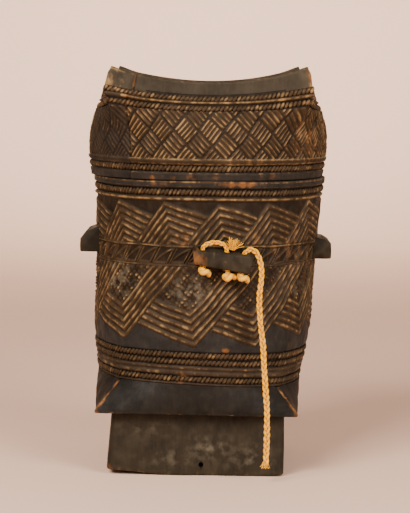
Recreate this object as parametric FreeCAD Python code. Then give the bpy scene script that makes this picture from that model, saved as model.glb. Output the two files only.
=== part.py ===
import FreeCAD, Part
import math
import os

from FreeCAD import Vector

# Heights, in millimetres from the ground up
foot_height = 38.5
panel_height = 18.5          # plain base panel, where the square turns round
vessel_height = 143.0        # base panel's lower edge to the shoulder
lid_height = 68.5            # shoulder to the tips of the lid's corners
lug_height = 102.5           # base panel's lower edge to the lugs' level
lean_angle = 1.69            # degrees that the carving leans towards +X

# Half-widths of the outer skin
foot_ground_half = 53.7      # foot at the ground
foot_top_half = 52.4         # foot under the base panel
base_half = 61.0             # square lower edge of the base panel
panel_half = 64.0            # upper edge of the base panel
belly_half = 68.4
waist_half = 69.8            # at the lugs
mouth_radius = 72.6
lid_swell_radius = 74.9      # the lid's widest level
lid_shoulder_half = 73.6
lid_draw_half = 70.2         # where the lid draws in to its square rim
lid_brow_half = 65.3
lid_crown_half = 62.0
rim_half = 61.0

# How round a section is: 0 has straight sides, 1 is a circle
square = 0.04
panel_round = 0.81
belly_round = 0.95
shoulder_round = 0.93
draw_round = 0.61
brow_round = 0.16
circle = 1.0

# Levels between the named edges
belly_level = 38.0           # above the base panel
lid_swell_level = 18.5       # above the shoulder, as the next four are
lid_shoulder_level = 30.5
lid_draw_level = 41.0
lid_brow_level = 51.5
lid_crown_level = 61.0
rim_dip = 9.5                # the rim's sides hang this far below its corners
rim_band = 7.8               # plain band under the rim, at the middle of a side
rim_band_corner = 10.0       # the same band at a corner

# Hollow of the vessel and its neck
floor_thickness = 15.0
cavity_mouth_radius = 60.0
cavity_floor_radius = 54.0
cavity_floor_fillet = 12.0
neck_radius = 65.5
neck_height = 12.0
neck_edge_fillet = 1.5

# Hollow of the lid
lid_fit = 0.4                # radial clearance round the neck
lid_headroom = 0.8           # clearance above the neck
lid_cavity_radius = 60.0
lid_cavity_wall_height = 13.5
lid_dome_rise = 14.0

# Foot
foot_wall = 9.0
foot_corner_fillet = 2.5
foot_hollow_fillet = 6.0
foot_hole_radius = 1.4
foot_hole_level = 7.0
foot_hole_offset = 3.0       # to the right of the foot's middle

# Carving: the main cuts, about every fourth one, square and following the skin
cut_width = 1.8
cut_depth = 1.2
cutter_reach = 2.0           # how far a cutter stands out of the skin, and reaches past its depth
steep_slope = 51.0           # degrees
shallow_slope = 18.0
inner_rise = 18.0            # a chevron's outer tip to its inner one
inner_shift = 3.2            # the inner tip's step away from the steep leg
lower_tip_level = 43.5       # above the base panel's lower edge, as the next four are
lower_field_top = 91.5
upper_field_bottom = 104.2
upper_tip_level = 130.4
vessel_ring_levels = (24.5, 30.6, 39.2, 91.5, 104.2, 130.4, 138.6)
plait_bottom = 13.8          # above the shoulder, as the next two are
plait_top = 41.0
lid_ring_levels = (5.2, 9.6, 13.8, 41.0)
plait_strands = 28
plait_slope = 50.0           # degrees
# Tips of the chevrons, in degrees from the front towards +X
lower_tips = (-80.0, -42.6, -3.7, 28.5, 61.0, 98.0, 134.0, 171.5, 206.5, 243.0)
upper_tips = (-81.0, -51.0, -22.5, 4.7, 31.0, 59.5, 89.0, 118.5, 149.0, 179.5, 209.5, 244.0)

# Lugs
lug_projection = 8.5         # skin to a lug's outer face
lug_length = 36.8
lug_root_depth = 8.0         # how far a lug is drawn inside the skin before it is trimmed
lug_edge_fillet = 1.2
hole_radius = 2.6
hole_edge = 4.4              # lug's outer face to a hole's centre
lug_hole_spacing = 11.0
front_hole_offsets = (-12.6, 2.5, 12.0)

front_lug_drop = 11.4        # lug's underside below the lugs' level, as the other drops are
front_lug_face = 9.4
front_lug_rise = 3.0
front_lug_crown = 0.3
front_lug_offset = 10.7
front_lug_tilt = 7.0         # degrees, its right end lower

left_lug_drop = 7.4
left_lug_face = 8.2
left_lug_rise = 8.6
left_lug_crown = 2.2

right_lug_drop = 10.0
right_lug_face = 10.0
right_lug_rise = 4.2
right_lug_crown = 0.4

back_lug_drop = 9.0
back_lug_face = 9.4
back_lug_rise = 4.0
back_lug_crown = 0.6

# Cords
cord_radius = 2.35
knot_radius = 4.2
knot_height = 6.2
knot_chamfer = 1.7           # turned edges of a drawn-up knot
knot_gap = 0.2               # under the lug
loop_shoulder_rise = 4.8     # top of a lug's hole to the loop's outer corners
loop_crown_rise = 2.8        # the loop's middle above its corners
arc_share = 0.45             # of the shorter run, that an arc takes

# The hanging cord's route, from the mouth of the front lug's third hole
hanging_route = [
    Vector(0.0, 0.0, -4.5),
    Vector(0.0, 0.0, 3.3),
    Vector(7.4, -0.3, 5.3),
    Vector(11.8, -0.4, -1.0),
    Vector(11.6, -0.3, -10.4),
    Vector(9.6, -0.1, -23.0),
    Vector(10.2, 0.0, -39.0),
    Vector(12.5, 0.1, -55.0),
    Vector(13.5, 0.0, -73.0),
    Vector(15.3, -0.1, -91.0),
    Vector(15.7, -0.2, -109.5),
    Vector(14.9, -0.1, -128.0),
]

base_level = foot_height
panel_top = base_level + panel_height
shoulder_level = base_level + vessel_height
total_height = shoulder_level + lid_height
lug_level = base_level + lug_height
lug_reach = waist_half + lug_projection
hole_distance = lug_reach - hole_edge


def axis_x(height):
    """Where the leaning axis stands at a height; it crosses the origin's vertical at the lugs."""
    return math.tan(math.radians(lean_angle)) * (height - lug_level)


def on_axis(height):
    return Vector(axis_x(height), 0, height)


def section(height, half_width, roundness):
    """A closed wire of four arcs, square, round or between, about the leaning axis."""
    bulge = roundness * half_width * (1 - math.sqrt(0.5))
    corner = half_width - bulge
    corners = [Vector(-corner, -corner), Vector(corner, -corner),
               Vector(corner, corner), Vector(-corner, corner)]
    middles = [Vector(0, -half_width), Vector(half_width, 0),
               Vector(0, half_width), Vector(-half_width, 0)]
    centre = on_axis(height)
    sides = []
    for side in range(4):
        start = centre + corners[side]
        end = centre + corners[(side + 1) % 4]
        sides.append(Part.Arc(start, centre + middles[side], end).toShape())
    return Part.Wire(sides)


def skin(sections, ruled=False):
    """A solid lofted through sections given as height, half-width and roundness."""
    wires = [section(*station) for station in sections]
    return Part.makeLoft(wires, True, ruled)


def cylinder(radius, bottom, top, x=0.0, y=0.0):
    return Part.makeCylinder(radius, top - bottom, Vector(x, y, bottom))


def edges_at(shape, height):
    """The edges of a shape that lie level at a height."""
    found = []
    for edge in shape.Edges:
        box = edge.BoundBox
        if abs(box.ZMin - height) < 0.01 and abs(box.ZMax - height) < 0.01:
            found.append(edge)
    return found


def dish(side_height, corner_height):
    """A ball over the lid whose surface meets the rim's sides and corners at two heights."""
    corner_distance = rim_half * math.sqrt(2)
    drop = corner_height - side_height
    centre_height = (corner_distance**2 - rim_half**2 + corner_height**2 - side_height**2) / (2 * drop)
    radius = math.hypot(rim_half, centre_height - side_height)
    return Part.makeSphere(radius, on_axis(total_height) + Vector(0, 0, centre_height - total_height))


def belly_skin(inset=0.0):
    """The tall part of the vessel's skin, drawn in by an inset."""
    return skin([
        (panel_top, panel_half - inset, panel_round),
        (base_level + belly_level + panel_height, belly_half - inset, belly_round),
        (lug_level, waist_half - inset, circle),
        (shoulder_level, mouth_radius - inset, circle),
    ])


def vessel_skin():
    """The vessel's outer form: a square base panel that turns round, and the tall belly."""
    panel = skin([(base_level, base_half, square), (panel_top, panel_half, panel_round)], ruled=True)
    return panel.fuse(belly_skin()).removeSplitter()


def skin_point(outside, azimuth, height):
    """A point on the skin. Azimuth 0 is the front, and angles grow towards +X."""
    turn = math.radians(azimuth)
    outward = Vector(math.sin(turn), -math.cos(turn), 0)
    centre = on_axis(height)
    ray = Part.makeLine(centre, centre + outward * 2 * lid_swell_radius)
    return centre + outward * ray.common(outside).Length


def line_cutter(outside, start, end):
    """A cutter along the skin between two places, given as azimuth and height."""
    middle = ((start[0] + end[0]) / 2, (start[1] + end[1]) / 2)
    first, crown, last = [skin_point(outside, *place) for place in (start, middle, end)]
    along = (last - first).normalize()
    first = first - along * cut_width / 2
    last = last + along * cut_width / 2
    bulge = crown - (first + last) * 0.5
    outward = (bulge - along * bulge.dot(along)).normalize()
    side = along.cross(outward) * cut_width / 2
    sunk = outward * (cut_depth + cutter_reach)
    floor = [first - sunk + side, first - sunk - side, last - sunk - side, last - sunk + side]
    return slab(floor, sunk + outward * (bulge.Length + cutter_reach))


def ring_cutter(height):
    """A level slice of everything; only its rim, outside the inset skin, cuts."""
    half = 2 * lid_swell_radius
    return Part.makeBox(2 * half, 2 * half, cut_width, on_axis(height) - Vector(half, half, cut_width / 2))


def chevron_cutters(outside, tips, tip_height, field_edge):
    """Cutters for the outer and the inner line of each chevron of a field.

    Those of the lower field open upwards, and those of the upper one are turned half round.
    """
    cutters = []
    up = math.copysign(1, field_edge - tip_height)
    steep = math.tan(math.radians(steep_slope))
    shallow = math.tan(math.radians(shallow_slope))
    per_degree = math.radians(waist_half)
    for index, tip in enumerate(tips):
        neighbour = tips[(index - int(up)) % len(tips)]
        spacing = (up * (tip - neighbour)) % 360 * per_degree
        for rise, shift in ((0.0, 0.0), (inner_rise, inner_shift)):
            apex = (tip - up * shift / per_degree, tip_height + up * rise)
            steep_run = (abs(field_edge - tip_height) - rise) / steep
            shallow_run = (steep * (spacing - shift) - rise) / (steep + shallow)
            steep_end = (apex[0] + up * steep_run / per_degree, field_edge)
            shallow_end = (apex[0] - up * shallow_run / per_degree, apex[1] + up * shallow * shallow_run)
            cutters.append(line_cutter(outside, apex, steep_end))
            cutters.append(line_cutter(outside, apex, shallow_end))
    return cutters


def plait_cutters(outside):
    """Cutters along the edges of the lid's plaited strands, which slope both ways."""
    bottom = shoulder_level + plait_bottom
    top = shoulder_level + plait_top
    run = math.degrees((top - bottom) / math.tan(math.radians(plait_slope)) / lid_swell_radius)
    cutters = []
    for strand in range(plait_strands):
        azimuth = 360 / plait_strands * strand
        cutters.append(line_cutter(outside, (azimuth, bottom), (azimuth + run, top)))
        cutters.append(line_cutter(outside, (azimuth, bottom), (azimuth - run, top)))
    return cutters


def carved(block, inset_skin, cutters):
    """The block with its cutters' outer parts taken away, down to the inset skin."""
    tool = cutters[0].fuse(cutters[1:]).cut(inset_skin)
    return block.cut(tool)


def vessel_cavity():
    """The hollow, a slightly tapering pot that leans with the carving."""
    floor = base_level + floor_thickness
    top = shoulder_level + neck_height
    hollow = Part.makeCone(cavity_floor_radius, cavity_mouth_radius, top - floor)
    hollow = hollow.makeFillet(cavity_floor_fillet, edges_at(hollow, 0))
    mouth = cylinder(cavity_mouth_radius, top - floor, top - floor + neck_height)
    hollow = hollow.fuse(mouth)
    hollow.rotate(Vector(0, 0, top - floor), Vector(0, 1, 0), lean_angle)
    hollow.translate(Vector(axis_x(shoulder_level), 0, floor))
    return hollow


def vessel(outside):
    neck_top = shoulder_level + neck_height
    neck = cylinder(neck_radius, shoulder_level - neck_height, neck_top, axis_x(shoulder_level))
    neck = neck.makeFillet(neck_edge_fillet, edges_at(neck, neck_top))
    block = outside.fuse(neck).cut(vessel_cavity()).removeSplitter()
    cutters = [ring_cutter(base_level + level) for level in vessel_ring_levels]
    cutters += chevron_cutters(outside, lower_tips, base_level + lower_tip_level,
                               base_level + lower_field_top)
    cutters += chevron_cutters(outside, upper_tips, base_level + upper_tip_level,
                               base_level + upper_field_bottom)
    return carved(block, belly_skin(cut_depth), cutters)


def swell_skin(inset=0.0):
    """The lid's swelling skin below its rim, drawn in by an inset."""
    seat = shoulder_level
    return skin([
        (seat, mouth_radius - inset, circle),
        (seat + lid_swell_level, lid_swell_radius - inset, circle),
        (seat + lid_shoulder_level, lid_shoulder_half - inset, shoulder_round),
        (seat + lid_draw_level, lid_draw_half - inset, draw_round),
        (seat + lid_brow_level, lid_brow_half - inset, brow_round),
        (seat + lid_crown_level, lid_crown_half - inset, square),
    ])


def lid_skin():
    """The swelling lid that draws in to a square rim with raised corners."""
    side_top = total_height - rim_dip
    above_swell = dish(side_top - rim_band, total_height - rim_band_corner)
    rim = skin([(shoulder_level, rim_half, square), (total_height + rim_band, rim_half, square)], ruled=True)
    rim = rim.common(above_swell).cut(dish(side_top, total_height))
    return swell_skin().cut(above_swell).fuse(rim).removeSplitter()


def lid_cavity():
    """The recess that takes the neck, and the domed hollow above it."""
    seat_x = axis_x(shoulder_level)
    recess_top = shoulder_level + neck_height + lid_headroom
    wall_top = recess_top + lid_cavity_wall_height
    recess = cylinder(neck_radius + lid_fit, shoulder_level - neck_height, recess_top, seat_x)
    wall = cylinder(lid_cavity_radius, shoulder_level, wall_top, seat_x)
    dome_radius = (lid_cavity_radius**2 + lid_dome_rise**2) / (2 * lid_dome_rise)
    ball_centre = wall_top + lid_dome_rise - dome_radius
    ball = Part.makeSphere(dome_radius, Vector(seat_x, 0, ball_centre))
    room = cylinder(lid_cavity_radius, shoulder_level, total_height, seat_x)
    return recess.fuse(wall).fuse(room.common(ball)).removeSplitter()


def lid():
    outside = lid_skin()
    block = outside.cut(lid_cavity()).removeSplitter()
    cutters = [ring_cutter(shoulder_level + level) for level in lid_ring_levels]
    return carved(block, swell_skin(cut_depth), cutters + plait_cutters(outside))


def slab(outline, along):
    """A flat-sided block: a closed outline, pushed along a direction."""
    return Part.Face(Part.makePolygon(outline + outline[:1])).extrude(along)


def flared_block(ground_half, top_half, corner_fillet):
    """A block with four flat sides, from the ground to the base panel, its upright edges rounded."""
    width = 4 * ground_half
    low = on_axis(0)
    high = on_axis(base_level)
    across = slab([low - Vector(ground_half, width / 2), low + Vector(ground_half, -width / 2),
                   high + Vector(top_half, -width / 2), high - Vector(top_half, width / 2)],
                  Vector(0, width, 0))
    deep = slab([Vector(-width / 2, -ground_half, 0), Vector(-width / 2, ground_half, 0),
                 Vector(-width / 2, top_half, base_level), Vector(-width / 2, -top_half, base_level)],
                Vector(width, 0, 0))
    block = across.common(deep)
    upright = [edge for edge in block.Edges if edge.BoundBox.ZLength > base_level / 2]
    return block.makeFillet(corner_fillet, upright)


def foot():
    """Four slab walls, slightly flared towards the ground, open underneath, with a drilled front."""
    block = flared_block(foot_ground_half, foot_top_half, foot_corner_fillet)
    hollow = flared_block(foot_ground_half - foot_wall, foot_top_half - foot_wall, foot_hollow_fillet)
    drill_start = Vector(axis_x(0) + foot_hole_offset, -foot_ground_half - foot_wall, foot_hole_level)
    drill = Part.makeCylinder(foot_hole_radius, 3 * foot_wall, drill_start, Vector(0, 1, 0))
    return block.cut(hollow).cut(drill)


def lug(outside, azimuth, drop, face, rise, crown, hole_offsets, offset=0.0, tilt=0.0):
    """A pierced lug on the skin. Azimuth 0 is the front; the other angles turn anticlockwise."""
    bottom = lug_level - drop
    root = waist_half - lug_root_depth
    face_top = bottom + face
    root_top = face_top + rise
    brow = Vector((lug_reach + waist_half) / 2, 0, (face_top + root_top) / 2 + crown)
    heel = Vector(root, 0, bottom)
    toe = Vector(lug_reach, 0, bottom)
    lip = Vector(lug_reach, 0, face_top)
    seat = Vector(waist_half, 0, root_top)
    inner = Vector(root, 0, root_top)
    outline = Part.Wire([
        Part.LineSegment(heel, toe).toShape(),
        Part.LineSegment(toe, lip).toShape(),
        Part.Arc(lip, brow, seat).toShape(),
        Part.LineSegment(seat, inner).toShape(),
        Part.LineSegment(inner, heel).toShape(),
    ])
    block = Part.Face(outline).extrude(Vector(0, lug_length, 0))
    block.translate(Vector(0, offset - lug_length / 2, 0))
    outer_ends = [edge for edge in block.Edges
                  if edge.BoundBox.XMin > lug_reach - 0.01 and edge.BoundBox.ZLength > face / 2]
    block = block.makeFillet(lug_edge_fillet, outer_ends)
    block.rotate(Vector(0, offset, bottom + face / 2), Vector(1, 0, 0), -tilt)
    for hole in hole_offsets:
        block = block.cut(cylinder(hole_radius, bottom - lug_length, root_top + lug_length,
                                   hole_distance, offset + hole))
    block.rotate(Vector(), Vector(0, 0, 1), azimuth - 90)
    return block.cut(outside)


def tube_path(points):
    """Straight runs joined by tangent arcs, as large as the two runs allow."""
    edges = []
    radii = []
    start = points[0]
    for before, corner, after in zip(points, points[1:], points[2:]):
        to_before = before - corner
        to_after = after - corner
        half_turn = (math.pi - to_before.getAngle(to_after)) / 2
        reach = arc_share * min(to_before.Length, to_after.Length)
        radius = reach / math.tan(half_turn)
        enter = corner + to_before.normalize() * reach
        leave = corner + to_after.normalize() * reach
        middle = (enter + leave) * 0.5 - corner
        middle = corner + middle.normalize() * (math.hypot(radius, reach) - radius)
        edges.append(Part.LineSegment(start, enter).toShape())
        edges.append(Part.Arc(enter, middle, leave).toShape())
        radii.append(radius)
        start = leave
    edges.append(Part.LineSegment(start, points[-1]).toShape())
    return Part.Wire(edges), radii


def cord_tube(name, points):
    """A round cord along a route; its radii and its volume are printed."""
    path, radii = tube_path(points)
    along = points[1] - points[0]
    mouth = Part.Wire(Part.makeCircle(cord_radius, points[0], along))
    tube = path.makePipeShell([mouth], True, True)
    expected = math.pi * cord_radius**2 * path.Length
    print(name, "length", round(path.Length, 1), "radii", [round(radius, 1) for radius in radii],
          "volume ratio", round(tube.Volume / expected, 4))
    return tube


def front_hole_x(index):
    return front_lug_offset + front_hole_offsets[index]


def front_lug_level(x, above):
    """The height on the tilted front lug at x, given the height on its untilted middle."""
    return above - math.tan(math.radians(front_lug_tilt)) * (x - front_lug_offset)


def front_hole_mouth(index):
    """The middle of a front hole's upper mouth."""
    x = front_hole_x(index)
    untilted = lug_level - front_lug_drop + front_lug_face + front_lug_rise / 2
    return Vector(x, -hole_distance, front_lug_level(x, untilted))


def knot_top(index):
    x = front_hole_x(index) + knot_radius
    return front_lug_level(x, lug_level - front_lug_drop) - knot_gap


def knot(index):
    """A stopper knot, drawn up under its hole in the front lug."""
    top = knot_top(index)
    block = cylinder(knot_radius, top - knot_height, top, front_hole_x(index), -hole_distance)
    rims = edges_at(block, top) + edges_at(block, top - knot_height)
    return block.makeChamfer(knot_chamfer, rims)


def cord_loop():
    """The short cord: down one hole to its knot, over the lug and down the next."""
    up = Vector(0, 0, 1)
    first = front_hole_mouth(0)
    second = front_hole_mouth(1)
    tube = cord_tube("cord_loop", [
        first + up * (knot_top(0) - knot_chamfer - first.z),
        first + up * loop_shoulder_rise,
        (first + second) * 0.5 + up * (loop_shoulder_rise + loop_crown_rise),
        second + up * loop_shoulder_rise,
        second + up * (knot_top(1) - knot_chamfer - second.z),
    ])
    return tube.fuse(knot(0)).fuse(knot(1)).removeSplitter()


def hanging_points():
    return [front_hole_mouth(2) + point for point in hanging_route]


def cord_knot():
    """The hanging cord's knot and the stretch of it inside the third hole."""
    mouth = front_hole_mouth(2)
    shank = cylinder(cord_radius, knot_top(2) - knot_chamfer, hanging_points()[0].z, mouth.x, mouth.y)
    return knot(2).fuse(shank).removeSplitter()


def build():
    outside = vessel_skin()
    even_holes = (-lug_hole_spacing, 0.0, lug_hole_spacing)
    return {
        "foot": foot(),
        "vessel": vessel(outside),
        "lug_front": lug(outside, 0, front_lug_drop, front_lug_face, front_lug_rise,
                         front_lug_crown, front_hole_offsets, front_lug_offset, front_lug_tilt),
        "lug_right": lug(outside, 90, right_lug_drop, right_lug_face, right_lug_rise,
                         right_lug_crown, even_holes),
        "lug_back": lug(outside, 180, back_lug_drop, back_lug_face, back_lug_rise,
                        back_lug_crown, even_holes),
        "lug_left": lug(outside, 270, left_lug_drop, left_lug_face, left_lug_rise,
                        left_lug_crown, even_holes),
        "lid": lid(),
        "cord_loop": cord_loop(),
        "cord_knot": cord_knot(),
        "hanging_cord": cord_tube("hanging_cord", hanging_points()),
    }


os.makedirs("parts", exist_ok=True)
for node, shape in build().items():
    shape.exportStep(f"parts/{node}.step")
    box = shape.BoundBox
    print(node, shape.isValid(), len(shape.Solids), "solids", round(shape.Volume / 1000, 1), "cm3",
          [round(value, 1) for value in (box.XMin, box.XMax, box.YMin, box.YMax, box.ZMin, box.ZMax)])
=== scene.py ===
"""A carved wooden box on a square foot, with a pushed-on lid, pierced lugs and raffia cords."""
import math

import bmesh
import bpy
import numpy as np
from mathutils import Matrix, Vector


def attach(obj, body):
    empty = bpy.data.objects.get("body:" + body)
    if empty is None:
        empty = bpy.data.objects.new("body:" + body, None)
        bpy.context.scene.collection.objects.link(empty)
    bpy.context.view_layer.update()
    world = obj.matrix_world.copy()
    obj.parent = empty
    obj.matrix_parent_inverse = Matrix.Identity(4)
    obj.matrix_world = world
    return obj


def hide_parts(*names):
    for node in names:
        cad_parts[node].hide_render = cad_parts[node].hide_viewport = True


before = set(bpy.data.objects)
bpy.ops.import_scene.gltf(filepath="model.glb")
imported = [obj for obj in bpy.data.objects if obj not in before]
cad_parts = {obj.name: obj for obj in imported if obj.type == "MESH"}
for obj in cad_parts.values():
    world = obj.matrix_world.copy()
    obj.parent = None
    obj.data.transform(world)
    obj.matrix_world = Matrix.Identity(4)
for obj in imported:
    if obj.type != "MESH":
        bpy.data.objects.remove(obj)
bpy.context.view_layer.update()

bl_info = {
    "name": "Carved lidded box",
    "version": (1, 0, 0),
    "blender": (4, 5, 0),
    "location": "View3D > Sidebar > Carved box",
    "description": "Builds the carved wood and the raffia cords of a lidded box around its solids",
    "category": "Object",
}

# Forms are worked out in millimetres and made in metres
MM = 0.001
FULL_TURN = 2 * math.pi

# Levels above the ground
BASE_LEVEL = 38.5
PANEL_TOP = 57.1
BAND_LOW = 130.2
BAND_HIGH = 142.5
CHEVRON_TOP = 168.9
SHOULDER = 181.5
NECK_TOP = 193.5
LID_BAND_LOW = 232.7
LID_TOP = 250.0
LUG_LEVEL = 141.0
LEAN = math.tan(math.radians(1.69))

# Where the vessel's other bands begin, from the top down
NECK_BAND = 177.0
UPPER_ROPE_BED = 171.7
LOWER_FIELD = 77.7
LOWER_ROPE_BED = 69.0
LOWER_RIBS = ((66.2, 68.9), (62.7, 66.0), (57.0, 58.4))
BASE_ROPE_BED = (58.4, 62.7)
# Where the lid's bands begin, from the top down
RIM_ROPE_BED = 229.0
RIM_RIB = 226.8
PLAIT_ROPE_BED = 222.8
PLAIT_BAND = 195.0
LID_RIB = 191.2
LID_ROPE_BED = 186.6
# Middle levels of the rope bands
VESSEL_ROPES = (174.4, 75.5, 71.2, 60.6)
LID_ROPES = (188.8, 224.8, 230.4)
# How deep the main cuts go
STROKE_DEPTH = 1.35
PLAIT_DEPTH = 1.3
ROPE_DEPTH = 1.6

# The skin's height, half-width and roundness, as the solids have them
PANEL_FORM = ((BASE_LEVEL, 62.4, 0.04), (41.0, 63.3, 0.12), (45.0, 64.0, 0.31),
              (PANEL_TOP, 64.0, 0.81))
VESSEL_FORM = ((PANEL_TOP, 64.0, 0.81), (70.5, 66.1, 0.87), (84.0, 68.1, 0.92), (95.0, 68.7, 0.95),
               (120.0, 68.9, 0.99), (141.0, 69.6, 1.0), (158.0, 70.4, 1.0), (SHOULDER, 72.3, 1.0))
LID_FORM = ((SHOULDER, 72.3, 1.0), (190.0, 73.8, 1.0), (200.0, 74.7, 1.0), (212.0, 73.8, 0.93),
            (222.5, 70.8, 0.61), (233.0, 65.6, 0.16), (242.5, 62.2, 0.04), (252.0, 61.0, 0.04))
RIM_HALF = 61.0
RIM_ROUND = 0.04
RIM_SIDE = 240.5
BAND_CORNER = 240.0
# How far the outside strays sideways from the leaning axis, by level
UPRIGHT = ((0.0, 0.0), (LID_TOP, 0.0))
VESSEL_DRIFT = ((BASE_LEVEL, -1.4), (50.0, -1.0), (62.0, -0.5), (85.0, 0.1), (130.0, 0.5),
                (SHOULDER, 0.7))
LID_DRIFT = ((SHOULDER, -1.1), (215.0, -1.3), (225.0, -1.6), (235.0, -2.2), (252.0, -2.4))
FOOT_DRIFT = ((0.0, -0.4), (LID_TOP, -0.4))
# Skin length per degree round the vessel and the lid
MM_PER_DEGREE = 1.22
LID_MM_PER_DEGREE = 1.3

# The leaning hollows
NECK_RADIUS = 65.5
CAVITY_MOUTH = 60.0
CAVITY_FLOOR = 54.0
FLOOR_LEVEL = 53.5
FLOOR_FILLET = 12.0
RECESS_RADIUS = 65.9
RECESS_TOP = 194.3
LID_WALL_TOP = 207.8
LID_DOME_RISE = 14.0
# Mesh columns round a turned block, and how far a carved ring's inner wall goes into it
BLOCK_COLUMNS = 480
RING_OVERLAP = 1.4

# The foot and its drilled hole
FOOT_HALVES = (53.7, 52.4)
FOOT_WALL = 9.0
FOOT_HOLE = (3.0, 7.0)
FOOT_HOLE_RADIUS = 1.4

# Chevrons read from the photo: each tip's angle from the front and height
UPPER_APEXES = ((-81.0, 169.0), (-51.0, 169.0), (-22.5, 169.5), (4.7, 168.3), (31.0, 168.7),
                (59.5, 170.0), (89.0, 169.0), (118.5, 169.4), (149.0, 168.8), (179.5, 169.6),
                (209.5, 168.9), (244.0, 169.3))
LOWER_TIPS = ((-80.0, 82.0), (-42.6, 83.4), (-3.7, 80.3), (28.5, 80.3), (61.0, 84.0), (98.0, 81.5),
              (134.0, 83.0), (171.5, 80.8), (206.5, 83.2), (243.0, 81.2))
# The rise of their steep and shallow legs, and the pitch of the ridges along each
UPPER_LEGS = (math.radians(53.0), math.radians(17.0), 3.35, 3.85)
LOWER_LEGS = (math.radians(50.0), math.radians(19.0), 3.45, 3.95)
# Ridges outside the pecked middle of a lower chevron
RIDGES_ROUND_FIELD = 5.0
# The lid's plait: degrees from strand to strand, and the level and angle of one crossing
PLAIT_STEP = 12.0
PLAIT_MIDDLE = 211.2
PLAIT_START = 1.2
# The lid's crack: level and angle
CRACK = ((181.0, -39.4), (200.0, -39.0), (214.0, -39.8), (226.0, -38.6), (232.0, -37.4),
         (240.0, -36.0), (251.0, -35.6))
RIM_CRACK = math.radians(-36.2)

# What each wooden point stores: how rubbed (its pale crests also carry painted highlight), how worn to bare
# wood, how dusty, how blackened (on the lid's broken piece, painted shade)
COATS = ("relief", "wear", "dusty", "charred")
# Worn and dusty places: angle, level, half-width, half-height and strength
VESSEL_WEAR = ((14.0, 179.8, 13.0, 1.9, 1.0), (-24.0, 179.4, 7.0, 1.4, 0.6),
               (46.0, 137.0, 22.0, 12.0, 0.38),
               (62.0, 110.0, 20.0, 45.0, 0.28), (52.0, 150.0, 12.0, 14.0, 0.25),
               (-60.0, 120.0, 9.0, 40.0, 0.35), (-9.0, 62.0, 4.0, 3.6, 0.75),
               (13.0, 79.0, 2.2, 1.4, 0.9),
               (-12.0, 146.0, 5.0, 6.0, 0.5), (24.0, 148.0, 5.0, 5.0, 0.5),
               (50.0, 64.0, 12.0, 8.0, 0.23),
               (150.0, 100.0, 26.0, 40.0, 0.5), (215.0, 150.0, 22.0, 20.0, 0.5),
               (250.0, 90.0, 16.0, 30.0, 0.4), (100.0, 165.0, 14.0, 14.0, 0.45))
VESSEL_DUST = ((-50.0, 120.0, 13.0, 10.0, 0.9), (-7.0, 115.0, 9.0, 8.0, 0.9),
               (60.0, 115.0, 14.0, 14.0, 0.25),
               (165.0, 112.0, 14.0, 12.0, 0.7), (235.0, 118.0, 12.0, 12.0, 0.7))
FOOT_DUST = ((9.0, 17.0, 14.0, 7.0, 0.5), (30.0, 12.0, 10.0, 7.0, 0.5),
             (-14.0, 11.0, 12.0, 5.0, 0.4),
             (-30.0, 29.0, 12.0, 4.0, 0.25), (140.0, 16.0, 30.0, 9.0, 0.7),
             (235.0, 20.0, 30.0, 9.0, 0.6))
LID_WEAR = ((55.0, 205.0, 18.0, 16.0, 0.5), (-8.0, 184.0, 16.0, 2.4, 0.4),
            (-26.0, 183.6, 6.0, 2.0, 0.45),
            (20.0, 193.0, 16.0, 2.0, 0.35), (31.0, 184.0, 8.0, 2.4, 0.4),
            (130.0, 205.0, 24.0, 16.0, 0.5),
            (205.0, 214.0, 18.0, 12.0, 0.45))
# On the front lug the first two are millimetres along it and its level
LUG_WEAR = ((-5.6, 136.4, 5.2, 7.0, 0.75),)

# Lugs: name, azimuth, ends of the upper and the lower edge, left and right level of each edge,
# rise towards the skin, holes
LUGS = (
    ("lug_front", 0.0, (-7.7, 29.1), (-6.8, 26.5), (140.6, 137.3),
     (132.4, 126.8), 3.0, (-1.9, 13.2, 22.7)),
    ("lug_right", 90.0, (-18.4, 18.4), (-18.0, 18.0), (141.0, 141.0),
     (131.0, 131.0), 4.2, (-11.0, 0.0, 11.0)),
    ("lug_back", 180.0, (-18.4, 18.4), (-18.0, 18.0), (141.4, 141.4),
     (132.0, 132.0), 4.0, (-11.0, 0.0, 11.0)),
    ("lug_left", 270.0, (-18.4, 18.4), (-18.0, 18.0), (141.8, 141.8),
     (133.6, 133.6), 8.6, (-11.0, 0.0, 11.0)),
)
LUG_REACH = 78.3
LUG_ROOT = 64.5
LUG_STATIONS = 30
LUG_CORNERS = 7
HOLE_REACH = 73.9
HOLE_RADIUS = 2.6

# Control points of the cords' curves, which keep close to the solids' routes
HANGING_ROUTE = ((22.7, -73.9, 134.5), (22.7, -73.9, 140.2), (29.2, -74.2, 141.9),
                 (33.4, -74.3, 133.4), (33.7, -74.2, 124.0), (32.3, -74.0, 114.0),
                 (32.9, -73.9, 100.0), (35.2, -73.8, 84.0), (36.2, -73.9, 66.0),
                 (38.0, -74.0, 48.0), (38.4, -74.1, 29.5), (37.9, -74.0, 11.0))
LOOP_ROUTE = ((-2.0, -73.9, 128.0), (-2.2, -73.9, 141.0), (-0.2, -74.2, 144.2), (6.0, -74.6, 145.7),
              (11.0, -74.4, 144.4), (13.2, -73.9, 141.0), (13.2, -73.9, 126.0))
# Knots: name, middles, solid
KNOTS = (("short_cord_knots", ((-0.4, -74.8, 127.6), (14.3, -74.8, 124.6)), "cord_loop"),
         ("hanging_cord_knot", ((22.6, -74.8, 124.2),), "cord_knot"))
KNOT_SIZE = (3.3, 2.5, 2.3)
KNOT_STRAND = 1.5
# The short cord is a little thinner than the hanging one
SHORT_CORD_SHARE = 0.82
TUBE_SIDES = 8

# Camera fitted to the photo
CAMERA_PLACE = (-0.33, -1260.0, 250.4)
CAMERA_PITCH = 5.47
CAMERA_ROLL = 0.76
CAMERA_LENS = 140.35
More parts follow.
